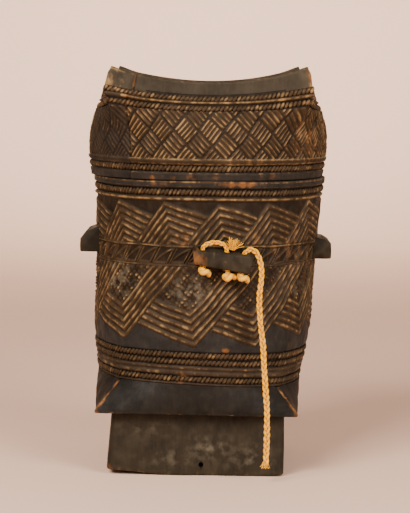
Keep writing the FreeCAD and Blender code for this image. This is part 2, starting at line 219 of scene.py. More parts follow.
# The paper's front edge, depth, bend, height and half-width
PAPER_FRONT = -2600.0
PAPER_DEPTH = 1900.0
PAPER_BEND = 500.0
PAPER_TOP = 3200.0
PAPER_HALF = 3500.0
# Lights: name, kind, place, aim, width, power and tint
LIGHTS = (
    ("key_light", "AREA", (-800.0, -1250.0, 1150.0),
     (0.0, 0.0, 150.0), 850.0, 50.0, (1.0, 0.955, 0.9)),
    ("fill_light", "AREA", (1100.0, -1250.0, 750.0),
     (0.0, 0.0, 150.0), 850.0, 36.0, (1.0, 0.95, 0.9)),
    ("wall_light", "SPOT", (0.0, 200.0, 1500.0),
     (0.0, 1850.0, 420.0), 400.0, 300.0, (1.0, 0.96, 0.92)),
)
SPOT_ANGLE = math.radians(62.0)
AIR_TINT = (0.98, 0.93, 0.88, 1.0)
AIR_STRENGTH = 0.3

# Fixed colours of the wood's coats; the blackened colour is also painted shade on the lid's broken piece
CHAR_AND_SHADE_COLOUR = (0.0160, 0.0137, 0.0117, 1.0)
DUST_COLOUR = (0.16, 0.13, 0.085, 1.0)
# Each wood finish: its colour among the settings, and how it is rubbed, with its crests' painted highlight
WOODS = {"carved_wood": ("plain_wood", {}),
         "lid_wood_finish": ("plain_wood", {}),
         "plain_wood_finish": ("dark_wood", {}),
         "foot_wood_finish": ("foot_wood", {"wear_and_highlight_amount": 0.5}),
         "rim_wood_finish": ("rim_wood", {}),
         "lug_wood_finish": ("foot_wood", {"wear_and_highlight_amount": 0.6, "gloss": 0.42})}
RAFFIA = "raffia_fibre"


def smooth(share):
    """A soft step from 0 to 1."""
    share = np.clip(share, 0.0, 1.0)
    return share * share * (3 - 2 * share)


def plateau(level, low, high, edge):
    """1 between two levels, with soft edges."""
    return smooth((level - low) / edge) * smooth((high - level) / edge)


def through(stations, column, at):
    """A smooth curve through one column of the stations, read at other levels."""
    levels = np.array([station[0] for station in stations])
    values = np.array([station[column] for station in stations])
    slopes = np.gradient(values, levels)
    spot = np.clip(np.searchsorted(levels, at, side="right") - 1, 0, len(levels) - 2)
    width = levels[spot + 1] - levels[spot]
    t = np.clip((at - levels[spot]) / width, 0.0, 1.0)
    start = values[spot] * (1 + 2 * t) * (1 - t)**2 + slopes[spot] * width * t * (1 - t)**2
    end = values[spot + 1] * (3 - 2 * t) * t**2 - slopes[spot + 1] * width * (1 - t) * t**2
    return start + end


def between(ends, share):
    return ends[0] + (ends[1] - ends[0]) * share


def angles_round(columns):
    """Even angles round the box from the front, each within half a turn of it."""
    angle = np.arange(columns) / columns * FULL_TURN
    return np.mod(angle + math.pi, FULL_TURN) - math.pi


def axis_x(level):
    return LEAN * (level - LUG_LEVEL)


def polar_radius(angle, half_width, roundness):
    """Distance from the axis to an outline of four arcs; angle 0 faces the front."""
    quarter = np.mod(angle + math.pi / 4, math.pi / 2) - math.pi / 4
    bulge = roundness * half_width * (1 - math.sqrt(0.5))
    corner = half_width - bulge
    arc = (corner**2 + bulge**2) / (2 * bulge)
    inset = half_width - arc
    return inset * np.cos(quarter) + np.sqrt(arc**2 - (inset * np.sin(quarter))**2)


def skin_radius(form, angle, level):
    return polar_radius(angle, through(form, 1, level), through(form, 2, level))


def place(angle, distance, level, drift=UPRIGHT):
    """Points at an angle and distance from the leaning axis, strayed by a drift."""
    centre = axis_x(level) + through(drift, 1, level)
    return np.stack([centre + distance * np.sin(angle), -distance * np.cos(angle),
                     level + 0 * distance], axis=-1)


def ripples(angle, level, seed, wavelength, count=6):
    """Smooth unevenness, about -1 to 1, that closes round the box."""
    pick = np.random.default_rng(seed)
    turns = 440.0 / wavelength
    total = 0.0
    for _ in range(count):
        heading = pick.uniform(0, FULL_TURN)
        waves = round(turns * math.cos(heading))
        climb = FULL_TURN / wavelength * math.sin(heading)
        total = total + np.sin(waves * angle + climb * level + pick.uniform(0, FULL_TURN))
    return total / math.sqrt(count)


def patches(degrees, level, spots):
    """Soft patches given as angle, level, half-width, half-height and strength."""
    total = np.zeros(np.broadcast(degrees, level).shape)
    for centre, height, wide, high, strength in spots:
        turn = np.mod(degrees - centre + 180, 360) - 180
        fall = ((level - height) / high)**2
        total = np.maximum(total, strength * np.exp(-(turn / wide)**2 - fall))
    return total


def dish_height(distance, side_height, corner_height):
    """The height of the ball-shaped dish that meets the rim's sides and corners."""
    corner = RIM_HALF * math.sqrt(2)
    drop = corner_height - side_height
    centre = (corner**2 - RIM_HALF**2 + corner_height**2 - side_height**2) / (2 * drop)
    radius = math.hypot(RIM_HALF, centre - side_height)
    return centre - np.sqrt(radius**2 - distance**2)


def nested_chevrons(along, height, tips, steep, shallow, steep_pitch, shallow_pitch):
    """How many ridges a point lies inside its chevron; below 0 it is outside."""
    turn = 360.0 * MM_PER_DEGREE
    corners = []
    for lap in (-1, 0, 1):
        corners += [(tip[0] * MM_PER_DEGREE + lap * turn, tip[1]) for tip in tips]
    nearest = np.full(np.broadcast(along, height).shape, 1e9)
    count = np.full(nearest.shape, -1.0)
    for tip_along, tip_height in corners:
        left_of_leg = tip_along + (height - tip_height) / math.tan(steep) - along
        above = height - tip_height + math.tan(shallow) * (along - tip_along)
        ridges = np.minimum(left_of_leg * math.sin(steep) / steep_pitch,
                            above * math.cos(shallow) / shallow_pitch)
        closer = (left_of_leg > 0) & (left_of_leg < nearest)
        nearest = np.where(closer, left_of_leg, nearest)
        count = np.where(closer, ridges, count)
    return count


def ridge(count, sharpness=1.0):
    """A row of rounded ridges, 1 on each crest and 0 in each groove."""
    return (0.5 - 0.5 * np.cos(FULL_TURN * count))**sharpness


def rubbed_by_hand(cut, depth):
    """Brown on a ridge's back, pale only along its crest from wear and painted highlight, dark in the
    groove.
    """
    body = np.clip(1 + cut / depth, 0.0, 1.0)
    return 0.1 + 0.47 * body + 0.4 * body**6


def knobs(along, height, slant, pitch):
    """A field of small pecked knobs on a slanting lattice."""
    up = along * math.cos(slant) + height * math.sin(slant)
    across = along * math.sin(slant) - height * math.cos(slant)
    return np.abs(np.sin(math.pi * up / pitch) * np.sin(math.pi * across / pitch))**0.7


def vessel_waver(angle, level):
    """How far the hand-carved bands run off level."""
    droop = -2.4 * smooth((104.0 - level) / 44.0)
    return droop * np.sin(angle) + 0.25 * ripples(angle, 0.0, 3, 90.0)


def middle_band(along, level):
    """Pairs of slanting bars, and an arched leaf between one pair and the next."""
    period = 9.1 * MM_PER_DEGREE
    height = (level - BAND_LOW) / (BAND_HIGH - BAND_LOW)
    slanted = along + 19.3 * MM_PER_DEGREE - (level - 136.0) / math.tan(math.radians(62.0))
    share = np.mod(slanted, period) / period
    bars = np.maximum(plateau(share, 0.0, 0.14, 0.06), plateau(share, 0.19, 0.32, 0.06))
    arch = np.clip((share - 0.38) / 0.58, 0.0, 1.0)
    leaf = np.exp(-((height - 0.2 - 0.62 * arch**0.6) / 0.085)**2) * (share > 0.36)
    sill = np.exp(-((height - 0.13) / 0.05)**2) * (share > 0.34)
    edge = plateau(level, BAND_LOW + 0.8, BAND_HIGH - 1.2, 0.8)
    return edge * np.maximum(bars, np.maximum(leaf, 0.8 * sill))


def vessel_relief(angle, bands, level):
    """Height of the vessel's carving over its skin, and its four coats."""
    degrees = np.degrees(angle)
    along = degrees * MM_PER_DEGREE + 0.28 * ripples(angle, level, 5, 26.0)
    height = level + 0.28 * ripples(angle, level, 6, 24.0)
    hanging_tips = [(-tip[0], -tip[1]) for tip in UPPER_APEXES]
    upper = nested_chevrons(-along, -height, hanging_tips, *UPPER_LEGS)
    lower = nested_chevrons(along, height, LOWER_TIPS, *LOWER_LEGS)
    bumps = 0.6 + 0.4 * ripples(angle, level, 12, 8.0)
    field = knobs(along + 0.6 * ripples(angle, level, 13, 9.0), height, LOWER_LEGS[0], 2.9) * bumps
    upper_cut = np.where(upper > 0, -STROKE_DEPTH * (1 - ridge(upper, 0.5)), -1.3)
    strokes = -STROKE_DEPTH * (1 - ridge(lower, 0.5))
    pecked = np.where(lower > RIDGES_ROUND_FIELD, -STROKE_DEPTH + 1.7 * field, strokes)
    lower_cut = np.where(lower > 0, pecked, -0.75)
    band_cut = -1.3 * (1 - middle_band(along, height))
    neck_cut = 0.45 * plateau(bands, NECK_BAND + 0.2, SHOULDER + 0.1, 0.9) - 0.2
    rib_cut = -1.0 + 1.1 * plateau(bands, CHEVRON_TOP + 0.2, UPPER_ROPE_BED, 0.8)
    cut = np.select([bands >= NECK_BAND, bands >= UPPER_ROPE_BED, bands >= CHEVRON_TOP,
                     height >= BAND_HIGH, height >= BAND_LOW, bands >= LOWER_FIELD,
                     bands >= LOWER_ROPE_BED],
                    [neck_cut, -ROPE_DEPTH, rib_cut, upper_cut, band_cut, lower_cut, -ROPE_DEPTH], -0.9)
    cut = np.where((height >= BAND_HIGH - 1.3) & (height <= BAND_HIGH + 0.5),
                   -1.1 + 1.1 * plateau(height, BAND_HIGH - 1.2, BAND_HIGH + 0.3, 0.5), cut)
    cut = np.where((height >= BAND_LOW - 0.6) & (height <= BAND_LOW + 1.0),
                   -1.1 + 1.0 * plateau(height, BAND_LOW - 0.4, BAND_LOW + 0.9, 0.5), cut)
    for low, high in LOWER_RIBS:
        rib = -0.9 + 0.72 * plateau(bands, low, high, 1.1)
        cut = np.where((bands >= low) & (bands < high), rib, cut)
    cut = np.where((bands >= BASE_ROPE_BED[0]) & (bands < BASE_ROPE_BED[1]), -ROPE_DEPTH, cut)
    wear = patches(degrees, level, VESSEL_WEAR)
    pale = patches(degrees, level, VESSEL_DUST)
    under_field = (bands < LOWER_FIELD) & (bands > LOWER_ROPE_BED) & (cut > -1.0)
    round_tips = (height < BAND_LOW - 0.6) & (bands >= LOWER_FIELD) & (lower <= 0)
    plain = (bands >= NECK_BAND) | under_field | round_tips
    edge = 0.85 * plateau(bands, 179.9, 181.3, 0.5) + 0.6 * plateau(bands, 177.2, 178.3, 0.4)
    dusted = rubbed_by_hand(cut, STROKE_DEPTH) + 0.3 * pale * smooth((cut + 0.9) / 0.9)
    rubbed = np.where(plain, 0.17 + 0.85 * edge, dusted)
    rough = 0.1 * ripples(angle, level, 8, 7.0) + 0.12 * ripples(angle, level, 9, 15.0)
    deep = 1 + 0.12 * ripples(angle, level, 10, 18.0)
    charred = np.where(plain, 1 - edge, 0.25 * (bands < LOWER_FIELD))
    return cut * (1 - 0.45 * wear) * deep + rough, rubbed, wear, pale, charred


def interlace(along, level):
    """Plaited strands, each cut into parallel ridges, 1 on a crest; and a tone factor for each strand,
    higher on the rising strands, with a random share.
    """
    period = PLAIT_STEP * LID_MM_PER_DEGREE
    rising, falling = math.radians(52.0), math.radians(44.0)
    start = along - PLAIT_START * LID_MM_PER_DEGREE + period / 2
    height = level - PLAIT_MIDDLE
    across_rising = (start - height / math.tan(rising)) / period
    across_falling = (start + height / math.tan(falling)) / period
    over = np.mod(np.floor(across_rising) + np.floor(across_falling), 2) < 0.5
    rising_share = np.mod(across_rising, 1.0)
    falling_share = np.mod(across_falling, 1.0)
    rising_bars = ridge(rising_share * 5, 0.6) * plateau(falling_share, 0.03, 0.97, 0.09)
    falling_bars = ridge(falling_share * 4, 0.6) * plateau(rising_share, 0.03, 0.97, 0.09)
    cell = np.sin(12.99 * np.floor(across_rising) + 78.23 * np.floor(across_falling))
    tone = np.where(over, 1.24, 1.06) + 0.1 * cell
    return np.where(over, rising_bars, falling_bars), tone


def crack_angle(level):
    return np.radians(np.interp(level, [stop[0] for stop in CRACK], [stop[1] for stop in CRACK]))


def lid_relief(angle, bands, level):
    """Height of the lid's carving over its skin, and its four coats."""
    degrees = np.degrees(angle)
    along = degrees * LID_MM_PER_DEGREE + 0.3 * ripples(angle, level, 15, 24.0)
    height = bands + 2.4 * np.sin(angle) + 0.3 * ripples(angle, level, 16, 24.0)
    strands, tone = interlace(along, height)
    plait_cut = -PLAIT_DEPTH * (1 - strands)
    rim_rib = -1.2 + 1.5 * plateau(bands, RIM_RIB, RIM_ROPE_BED, 0.7)
    lid_rib = -0.8 + 1.15 * plateau(bands, LID_RIB + 0.1, PLAIT_BAND - 0.1, 0.8)
    lip = -0.5 + 0.7 * plateau(bands, 180.0, LID_ROPE_BED - 0.1, 0.9)
    cut = np.select([bands >= RIM_ROPE_BED, bands >= RIM_RIB, bands >= PLAIT_ROPE_BED,
                     bands >= PLAIT_BAND, bands >= LID_RIB, bands >= LID_ROPE_BED],
                    [-ROPE_DEPTH, rim_rib, -ROPE_DEPTH, plait_cut, lid_rib, -ROPE_DEPTH], lip)
    wear = patches(degrees, level, LID_WEAR)
    # Left of the crack the carving is shallower, and darkened with painted shade
    fragment = plateau(degrees, -80.0, -39.4, 0.6)
    on_plait = (bands >= PLAIT_BAND) & (bands < PLAIT_ROPE_BED)
    rubbed = rubbed_by_hand(cut, PLAIT_DEPTH) * np.where(on_plait, tone, 1.0)
    edge = plateau(bands, 193.7, 195.1, 0.5) + plateau(bands, 190.9, 192.2, 0.5)
    rubbed = np.where((bands >= LID_RIB) & (bands < PLAIT_BAND), 0.26 + 0.8 * edge, rubbed)
    lip_edge = plateau(bands, 185.4, 186.7, 0.5)
    rubbed = np.where(bands < LID_ROPE_BED, 0.2 + 0.6 * lip_edge, rubbed)
    rough = 0.1 * ripples(angle, level, 18, 7.0) + 0.12 * ripples(angle, level, 19, 15.0)
    crack = np.exp(-(np.degrees(angle - crack_angle(level)) * LID_MM_PER_DEGREE / 0.5)**2)
    cut = cut * (1 - 0.4 * wear) * (1 - 0.3 * fragment) + rough - 0.25 * fragment - 2.4 * crack
    # Painted shade on the broken piece: its tone is lowered and partly blackened
    charred = np.where(bands < LID_ROPE_BED, 0.8, 0.35 * fragment)
    return cut, rubbed * (1 - 0.4 * fragment), np.maximum(wear, 0.9 * crack), 0 * cut, charred


def linked(name, data):
    """A new object in the scene."""
    thing = bpy.data.objects.new(name, data)
    bpy.context.scene.collection.objects.link(thing)
    return thing


def store(mesh, label, values, kind="FLOAT", field="value"):
    """Keeps a value at each point of a mesh."""
    layer = mesh.attributes.new(label, kind, "POINT")
    layer.data.foreach_set(field, np.asarray(values, dtype=np.float32).ravel())


def points_of(mesh):
    """A mesh's points in millimetres."""
    points = np.empty(len(mesh.vertices) * 3)
    mesh.vertices.foreach_get("co", points)
    return points.reshape(-1, 3) / MM


def mesh_object(name, points, faces, material, attributes=()):
    """A smooth mesh object from points in millimetres."""
    mesh = bpy.data.meshes.new(name)
    mesh.from_pydata(np.asarray(points) * MM, [], faces)
    mesh.shade_smooth()
    for label, values in attributes:
        store(mesh, label, values)
    mesh.materials.append(material)
    return linked(name, mesh)


def ring_faces(rings, columns, wrap):
    """Quads between neighbouring rings; wrap joins the last ring to the first."""
    steps = rings if wrap else rings - 1
    row = np.arange(steps)[:, None] * columns
    above = (np.arange(steps)[:, None] + 1) % rings * columns
    left = np.arange(columns)[None, :]
    right = (left + 1) % columns
    quads = np.stack([row + left, row + right, above + right, above + left], axis=-1)
    return quads.reshape(-1, 4).tolist()


def closed_ring(name, outer, depth, material, coats):
    """A carved ring: the outer grid, and a plain inner wall that lies inside the block."""
    rows, columns, _ = outer.shape
    centre = np.stack([axis_x(outer[..., 2]), 0 * outer[..., 2], outer[..., 2]], axis=-1)
    inward = centre - outer
    inward /= np.linalg.norm(inward, axis=-1, keepdims=True)
    inner = outer[[-1, 0]] + depth * inward[[-1, 0]]
    points = np.concatenate([outer, inner]).reshape(-1, 3)
    blank = np.zeros((2, columns))
    padded = [(label, np.concatenate([values, blank])) for label, values in zip(COATS, coats)]
    return mesh_object(name, points, ring_faces(rows + 2, columns, True), material, padded)


def turned_solid(name, rings, material, attributes=()):
    """A closed solid from rings that run from one pole to the other."""
    rings = np.asarray(rings)
    count, columns, _ = rings.shape
    points = rings.reshape(-1, 3)
    poles = [rings[0].mean(axis=0), rings[-1].mean(axis=0)]
    faces = ring_faces(count, columns, False)
    first, last = len(points), len(points) + 1
    end = (count - 1) * columns
    for spot in range(columns):
        after = (spot + 1) % columns
        faces.append((first, after, spot))
        faces.append((last, end + spot, end + after))
    extended = [(label, np.append(np.asarray(values).ravel(), [values[0][0], values[-1][0]]))
                for label, values in attributes]
    return mesh_object(name, np.concatenate([points, poles]), faces, material, extended)


def soften_by_angle(thing, degrees=38.0):
    thing.data.set_sharp_from_angle(angle=math.radians(degrees))


def finished_copy(thing):
    """The object's mesh with its modifiers baked in, and the modifiers removed."""
    depsgraph = bpy.context.evaluated_depsgraph_get()
    baked = bpy.data.meshes.new_from_object(thing.evaluated_get(depsgraph), depsgraph=depsgraph)
    thing.modifiers.clear()
    thing.data = baked
    return thing


def primitive(name, make, spot, heading, **settings):
    """An object made by one bmesh operation, at a spot in millimetres and facing a direction."""
    turn = Vector(heading).to_track_quat("Z", "Y").to_matrix().to_4x4()
    shape = bmesh.new()
    make(shape, cap_ends=True, matrix=Matrix.Translation(Vector(spot) * MM) @ turn, **settings)
    mesh = bpy.data.meshes.new(name)
    shape.to_mesh(mesh)
    shape.free()
    return linked(name, mesh)


def drill(thing, holes, direction, radius, length):
    """Cuts round holes, given by their middles, in one direction; millimetres."""
    for centre in holes:
        cutter = primitive("cutter", bmesh.ops.create_cone, centre, direction, segments=28,
                           radius1=radius * MM, radius2=radius * MM, depth=length * MM)
        cut = thing.modifiers.new("hole", "BOOLEAN")
        cut.operation = "DIFFERENCE"
        cut.solver = "EXACT"
        cut.object = cutter
        finished_copy(thing)
        bpy.data.objects.remove(cutter)


class Nodes:
    """Adds and links nodes in one tree."""

    def __init__(self, tree):
        self.tree = tree

    def feed(self, node, values):
        """Links a node's inputs to sockets, or sets them."""
        for socket, value in dict(values).items():
            if isinstance(value, bpy.types.NodeSocket):
                self.tree.links.new(value, node.inputs[socket])
            else:
                node.inputs[socket].default_value = value

    def add(self, kind, values=(), **settings):
        node = self.tree.nodes.new(kind)
        for name, value in settings.items():
            setattr(node, name, value)
        self.feed(node, values)
        return node

    def first(self, kind, values=(), **settings):
        """The first output of a new node."""
        return self.add(kind, values, **settings).outputs[0]

    def math(self, operation, first, second=0.0):
        return self.first("ShaderNodeMath", {0: first, 1: second}, operation=operation)

    def mix(self, share, first, second, blend="MIX"):
        node = self.add("ShaderNodeMix", {0: share, 6: first, 7: second}, data_type="RGBA",
                        blend_type=blend)
        return node.outputs[2]

    def span(self, value, low, high, new_low=0.0, new_high=1.0):
        return self.first("ShaderNodeMapRange", {0: value, 1: low, 2: high, 3: new_low, 4: new_high})

    def noise(self, place, scale, detail=4.0, stretch=(1.0, 1.0, 1.0)):
        spread = self.first("ShaderNodeMapping", {"Vector": place, "Scale": stretch})
        values = {"Vector": spread, "Scale": scale, "Detail": detail}
        return self.add("ShaderNodeTexNoise", values).outputs["Fac"]

    def thrice(self, value):
        return self.first("ShaderNodeCombineXYZ", {0: value, 1: value, 2: value})

    def coordinate(self, kind):
        return self.add("ShaderNodeTexCoord").outputs[kind]

    def attribute(self, name):
        return self.add("ShaderNodeAttribute", attribute_name=name).outputs["Fac"]

    def bump(self, height, strength, distance):
        return self.first("ShaderNodeBump", {"Height": height, "Strength": strength, "Distance": distance})

    def shared(self, make, values):
        """The outputs of a node group that is made the first time it is asked for."""
        tree = bpy.data.node_groups.get(make.__name__) or make()
        return self.add("ShaderNodeGroup", values, node_tree=tree).outputs

    def scatter(self, low, high, seed):
        """A random vector for each point."""
        return self.first("FunctionNodeRandomValue", {"Min": low, "Max": high, "Seed": seed},
                          data_type="FLOAT_VECTOR")

    def turned(self, rotation, euler):
        """A rotation turned further about its own axes."""
        turn = self.first("FunctionNodeEulerToRotation", {0: euler})
        return self.first("FunctionNodeRotateRotation", {"Rotation": rotation, "Rotate By": turn},
                          rotation_space="LOCAL")

    def put_out(self, points, instance, rotation, scale, material):
        """Ends a geometry tree with real, smooth and painted copies on points."""
        copies = self.first("GeometryNodeInstanceOnPoints", {"Points": points, "Instance": instance,
                                                             "Rotation": rotation, "Scale": scale})
        real = self.first("GeometryNodeRealizeInstances", {"Geometry": copies})
        soft = self.first("GeometryNodeSetShadeSmooth", {"Geometry": real})
        self.add("NodeGroupOutput", {0: self.first("GeometryNodeSetMaterial",
                                                   {"Geometry": soft, "Material": material})})
        return self.tree


def new_group(name, kind, inputs, outputs):
    """A node group with named sockets: its nodes, and what comes in."""
    tree = bpy.data.node_groups.new(name, kind)
    for direction, rows in (("INPUT", inputs), ("OUTPUT", outputs)):
        for label, socket_kind, default in rows:
            socket = tree.interface.new_socket(label, in_out=direction,
                                               socket_type="NodeSocket" + socket_kind)
            if default is not None:
                socket.default_value = default
    nodes = Nodes(tree)
    return nodes, nodes.add("NodeGroupInput").outputs


def wood_grain():
    """Long fibres along the log, with darker pores."""
    nodes, start = new_group("wood_grain", "ShaderNodeTree", (("Place", "Vector", None),),
                             (("Shade", "Float", None), ("Height", "Float", None)))
    fibres = nodes.noise(start["Place"], 700.0, 5.0, (1.0, 1.0, 0.16))
    clouds = nodes.noise(start["Place"], 75.0, 5.0)
    pores = nodes.span(nodes.noise(start["Place"], 1500.0, 2.0, (1.0, 1.0, 0.08)), 0.6, 0.72)
    shade = nodes.math("ADD", nodes.span(fibres, 0.3, 0.7, -0.3, 0.3),
                       nodes.span(clouds, 0.3, 0.7, -0.7, 0.7))
    height = nodes.math("SUBTRACT", nodes.span(fibres, 0.3, 0.7), pores)
    nodes.add("NodeGroupOutput", {"Shade": shade, "Height": height})
    return nodes.tree


def edge_wear():
    """Where handling has rubbed the carving pale, and where its crests take a painted highlight."""
    nodes, start = new_group("edge_wear", "ShaderNodeTree",
                             (("Place", "Vector", None), ("Relief", "Float", 0.5), ("Wear", "Float", 0.0),
                              ("Amount", "Float", 1.0)),
                             (("Crest", "Float", None), ("Rubbed", "Float", None)))
    spots = nodes.noise(start["Place"], 260.0, 5.0, (1.0, 1.0, 0.6))
    broken = nodes.span(spots, 0.35, 0.68, -0.32, 0.3)
    height = nodes.math("ADD", start["Relief"], broken)
    # Crests take the pale colour: rubbed wear and painted highlight together
    crest = nodes.math("MULTIPLY", nodes.span(height, 0.68, 1.16), start["Amount"])
    rubbed = nodes.span(nodes.math("ADD", start["Wear"], broken), 0.3, 0.85)
    nodes.add("NodeGroupOutput", {"Crest": crest, "Rubbed": rubbed})
    return nodes.tree


def grime():
    """Dust and soot that have stayed in the hollows."""
    nodes, start = new_group("grime", "ShaderNodeTree",
                             (("Place", "Vector", None), ("Relief", "Float", 0.5)),
                             (("Dust", "Float", None), ("Soot", "Float", None)))
    dust = nodes.span(nodes.noise(start["Place"], 210.0, 6.0), 0.46, 0.7)
    soot = nodes.span(start["Relief"], 0.42, 0.02)
    nodes.add("NodeGroupOutput", {"Dust": dust, "Soot": soot})
    return nodes.tree


def new_material(name):
    """A material, its shader and its nodes."""
    material = bpy.data.materials.new(name)
    material.use_nodes = True
    tree = material.node_tree
    return material, tree.nodes["Principled BSDF"], Nodes(tree)


def wood_material(name, shade, wear_and_highlight_amount=1.0, gloss=0.5):
    """Aged dark wood whose crests are rubbed tan, with painted highlight, and whose grooves are sooty."""
    material, shader, nodes = new_material(name)
    tones = colours()
    where = nodes.coordinate("Object")
    relief, wear, dusty, charred = [nodes.attribute(label) for label in COATS]
    fibre = nodes.shared(wood_grain, {"Place": where})
    rub = nodes.shared(edge_wear, {"Place": where, "Relief": relief, "Wear": wear, "Amount": wear_and_highlight_amount})
    dirt = nodes.shared(grime, {"Place": where, "Relief": relief})
    colour = nodes.mix(dirt["Soot"], tuple(getattr(tones, shade)), tuple(tones.groove_wood))
    # Blackened wood; on the lid's broken piece this is painted shade
    colour = nodes.mix(nodes.span(charred, 0.0, 1.0), colour, CHAR_AND_SHADE_COLOUR)
    colour = nodes.mix(nodes.math("MULTIPLY", rub["Rubbed"], 0.9), colour, tuple(tones.worn_wood))
    # Pale crests: rubbed wear, and painted highlight along the ridges' tops
    colour = nodes.mix(rub["Crest"], colour, tuple(tones.crest_wood))
    tint = nodes.thrice(nodes.span(fibre["Shade"], -0.9, 0.9, 0.6, 1.4))
    colour = nodes.mix(1.0, colour, tint, "MULTIPLY")
    dust = nodes.math("MULTIPLY", dirt["Dust"], nodes.span(dusty, 0.0, 1.0, 0.04, 0.85))
    nodes.feed(shader, {"Base Color": nodes.mix(dust, colour, DUST_COLOUR),
                        "Roughness": nodes.span(fibre["Shade"], -0.8, 0.8, gloss + 0.2, gloss),
                        "Specular IOR Level": 0.11,
                        "Normal": nodes.bump(fibre["Height"], 0.35, 0.0002)})
    return material


def raffia_material(name):
    """Plaited palm fibre, with fine lines along each strand, and painted shade between the strands."""
    material, shader, nodes = new_material(name)
    tones = colours()
    lines = nodes.noise(nodes.coordinate("UV"), 9.0, 4.0, (3.0, 0.35, 1.0))
    blotches = nodes.noise(nodes.coordinate("Object"), 220.0, 3.0)
    fibres = nodes.math("ADD", nodes.span(lines, 0.32, 0.68, 0.0, 0.65),
                        nodes.span(blotches, 0.3, 0.75, 0.0, 0.5))
    # Painted shade: darker towards each cord's middle, between the strands
    mixed = nodes.math("MULTIPLY", fibres, nodes.span(nodes.attribute("outward"), 0.28, 0.60))
    nodes.feed(shader, {"Base Color": nodes.mix(mixed, tuple(tones.raffia_deep), tuple(tones.raffia)),
                        "Roughness": nodes.span(lines, 0.3, 0.7, 0.75, 0.5),
                        "Specular IOR Level": 0.35,
                        "Normal": nodes.bump(lines, 0.6, 0.0003)})
    return material


def paper_material(name):
    """Matt studio paper with a faint mottle."""
    material, shader, nodes = new_material(name)
    colour = tuple(colours().backdrop)
    darker = tuple(0.97 * part for part in colour[:3]) + (1.0,)
    mottle = nodes.span(nodes.noise(nodes.coordinate("Object"), 3.0), 0.3, 0.7, 0.0, 1.0)
    nodes.feed(shader, {"Base Color": nodes.mix(mottle, darker, colour), "Roughness": 0.85,
                        "Specular IOR Level": 0.2})
    return material


def finish(piece, body, replaced=()):
    """Puts a finished piece on its body."""
    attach(piece, body)
    if replaced:
        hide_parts(*replaced)
    return piece


def carved_rope():
    """Slanted beads, one after another, along closed lines round the box."""
    nodes, start = new_group("carved_rope", "GeometryNodeTree",
                             (("Geometry", "Geometry", None), ("Pitch", "Float", 0.003),
                              ("Bead", "Vector", (0.001, 0.001, 0.002)), ("Slant", "Float", 0.8),
                              ("Seed", "Int", 1), ("Material", "Material", None)),
                             (("Geometry", "Geometry", None),))
    line = nodes.first("GeometryNodeMeshToCurve", {"Mesh": start["Geometry"]})
    points = nodes.first("GeometryNodeResampleCurve", {"Curve": line, "Length": start["Pitch"]},
                         mode="LENGTH")
    ball = nodes.first("GeometryNodeMeshUVSphere", {"Segments": 8, "Rings": 6, "Radius": 1.0})
    bead = nodes.first("GeometryNodeTransform", {"Geometry": ball, "Scale": start["Bead"]})
    tangent = nodes.first("GeometryNodeInputTangent")
    normal = nodes.first("GeometryNodeInputNamedAttribute", {"Name": "outward"},
                         data_type="FLOAT_VECTOR")
    facing = nodes.first("FunctionNodeAlignRotationToVector", {"Vector": tangent}, axis="X")
    upright = nodes.first("FunctionNodeAlignRotationToVector", {"Rotation": facing, "Vector": normal},
                          axis="Y", pivot_axis="X")
    lean = nodes.first("ShaderNodeCombineXYZ", {1: start["Slant"]})
    stray = nodes.scatter((0.0, -0.16, 0.0), (0.0, 0.16, 0.0), start["Seed"])
    turn = nodes.first("ShaderNodeVectorMath", {0: lean, 1: stray}, operation="ADD")
    size = nodes.scatter((0.86, 0.8, 0.86), (1.1, 1.12, 1.08), start["Seed"])
    return nodes.put_out(points, bead, nodes.turned(upright, turn), size, start["Material"])


def loose_fibres():
    """Thin bent fibres that sprout from a patch."""
    nodes, start = new_group("loose_fibres", "GeometryNodeTree",
                             (("Geometry", "Geometry", None), ("Density", "Float", 1e6),
                              ("Length", "Float", 0.005), ("Thickness", "Float", 0.00012),
                              ("Spread", "Float", 0.5), ("Seed", "Int", 1), ("Material", "Material", None)),
                             (("Geometry", "Geometry", None),))
    roots = nodes.add("GeometryNodeDistributePointsOnFaces",
                      {"Mesh": start["Geometry"], "Density": start["Density"], "Seed": start["Seed"]})
    bend = nodes.first("GeometryNodeCurveQuadraticBezier",
                       {"Resolution": 5, "Start": (0, 0, 0), "Middle": (0.0, 0.0, 0.6),
                        "End": (0.35, 0.0, 1.0)})
    outline = nodes.first("GeometryNodeCurvePrimitiveCircle", {"Resolution": 4, "Radius": 1.0},
                          mode="RADIUS")
    thin = nodes.math("DIVIDE", start["Thickness"], start["Length"])
    narrow = nodes.first("GeometryNodeTransform", {"Geometry": outline, "Scale": nodes.thrice(thin)})
    fibre = nodes.first("GeometryNodeCurveToMesh",
                        {"Curve": bend, "Profile Curve": narrow, "Fill Caps": True})
    swing = nodes.first("ShaderNodeCombineXYZ", {0: start["Spread"], 1: start["Spread"], 2: 3.14})
    back = nodes.first("ShaderNodeVectorMath", {0: swing, "Scale": -1.0}, operation="SCALE")
    lean = nodes.scatter(back, swing, start["Seed"])
    size = nodes.add("FunctionNodeRandomValue", {2: 0.45, 3: 1.1, "Seed": start["Seed"]},
                     data_type="FLOAT")
    length = nodes.math("MULTIPLY", size.outputs[1], start["Length"])
    return nodes.put_out(roots.outputs[0], fibre, nodes.turned(roots.outputs["Rotation"], lean), length,
                         start["Material"])


def grow(thing, tree, values):
    """Runs a node tree on an object and keeps the result as its plain mesh."""
    modifier = thing.modifiers.new(tree.name, "NODES")
    modifier.node_group = tree
    for item in tree.interface.items_tree:
        if item.item_type == "SOCKET" and item.in_out == "INPUT" and item.name in values:
            modifier[item.identifier] = values[item.name]
    return finished_copy(thing)


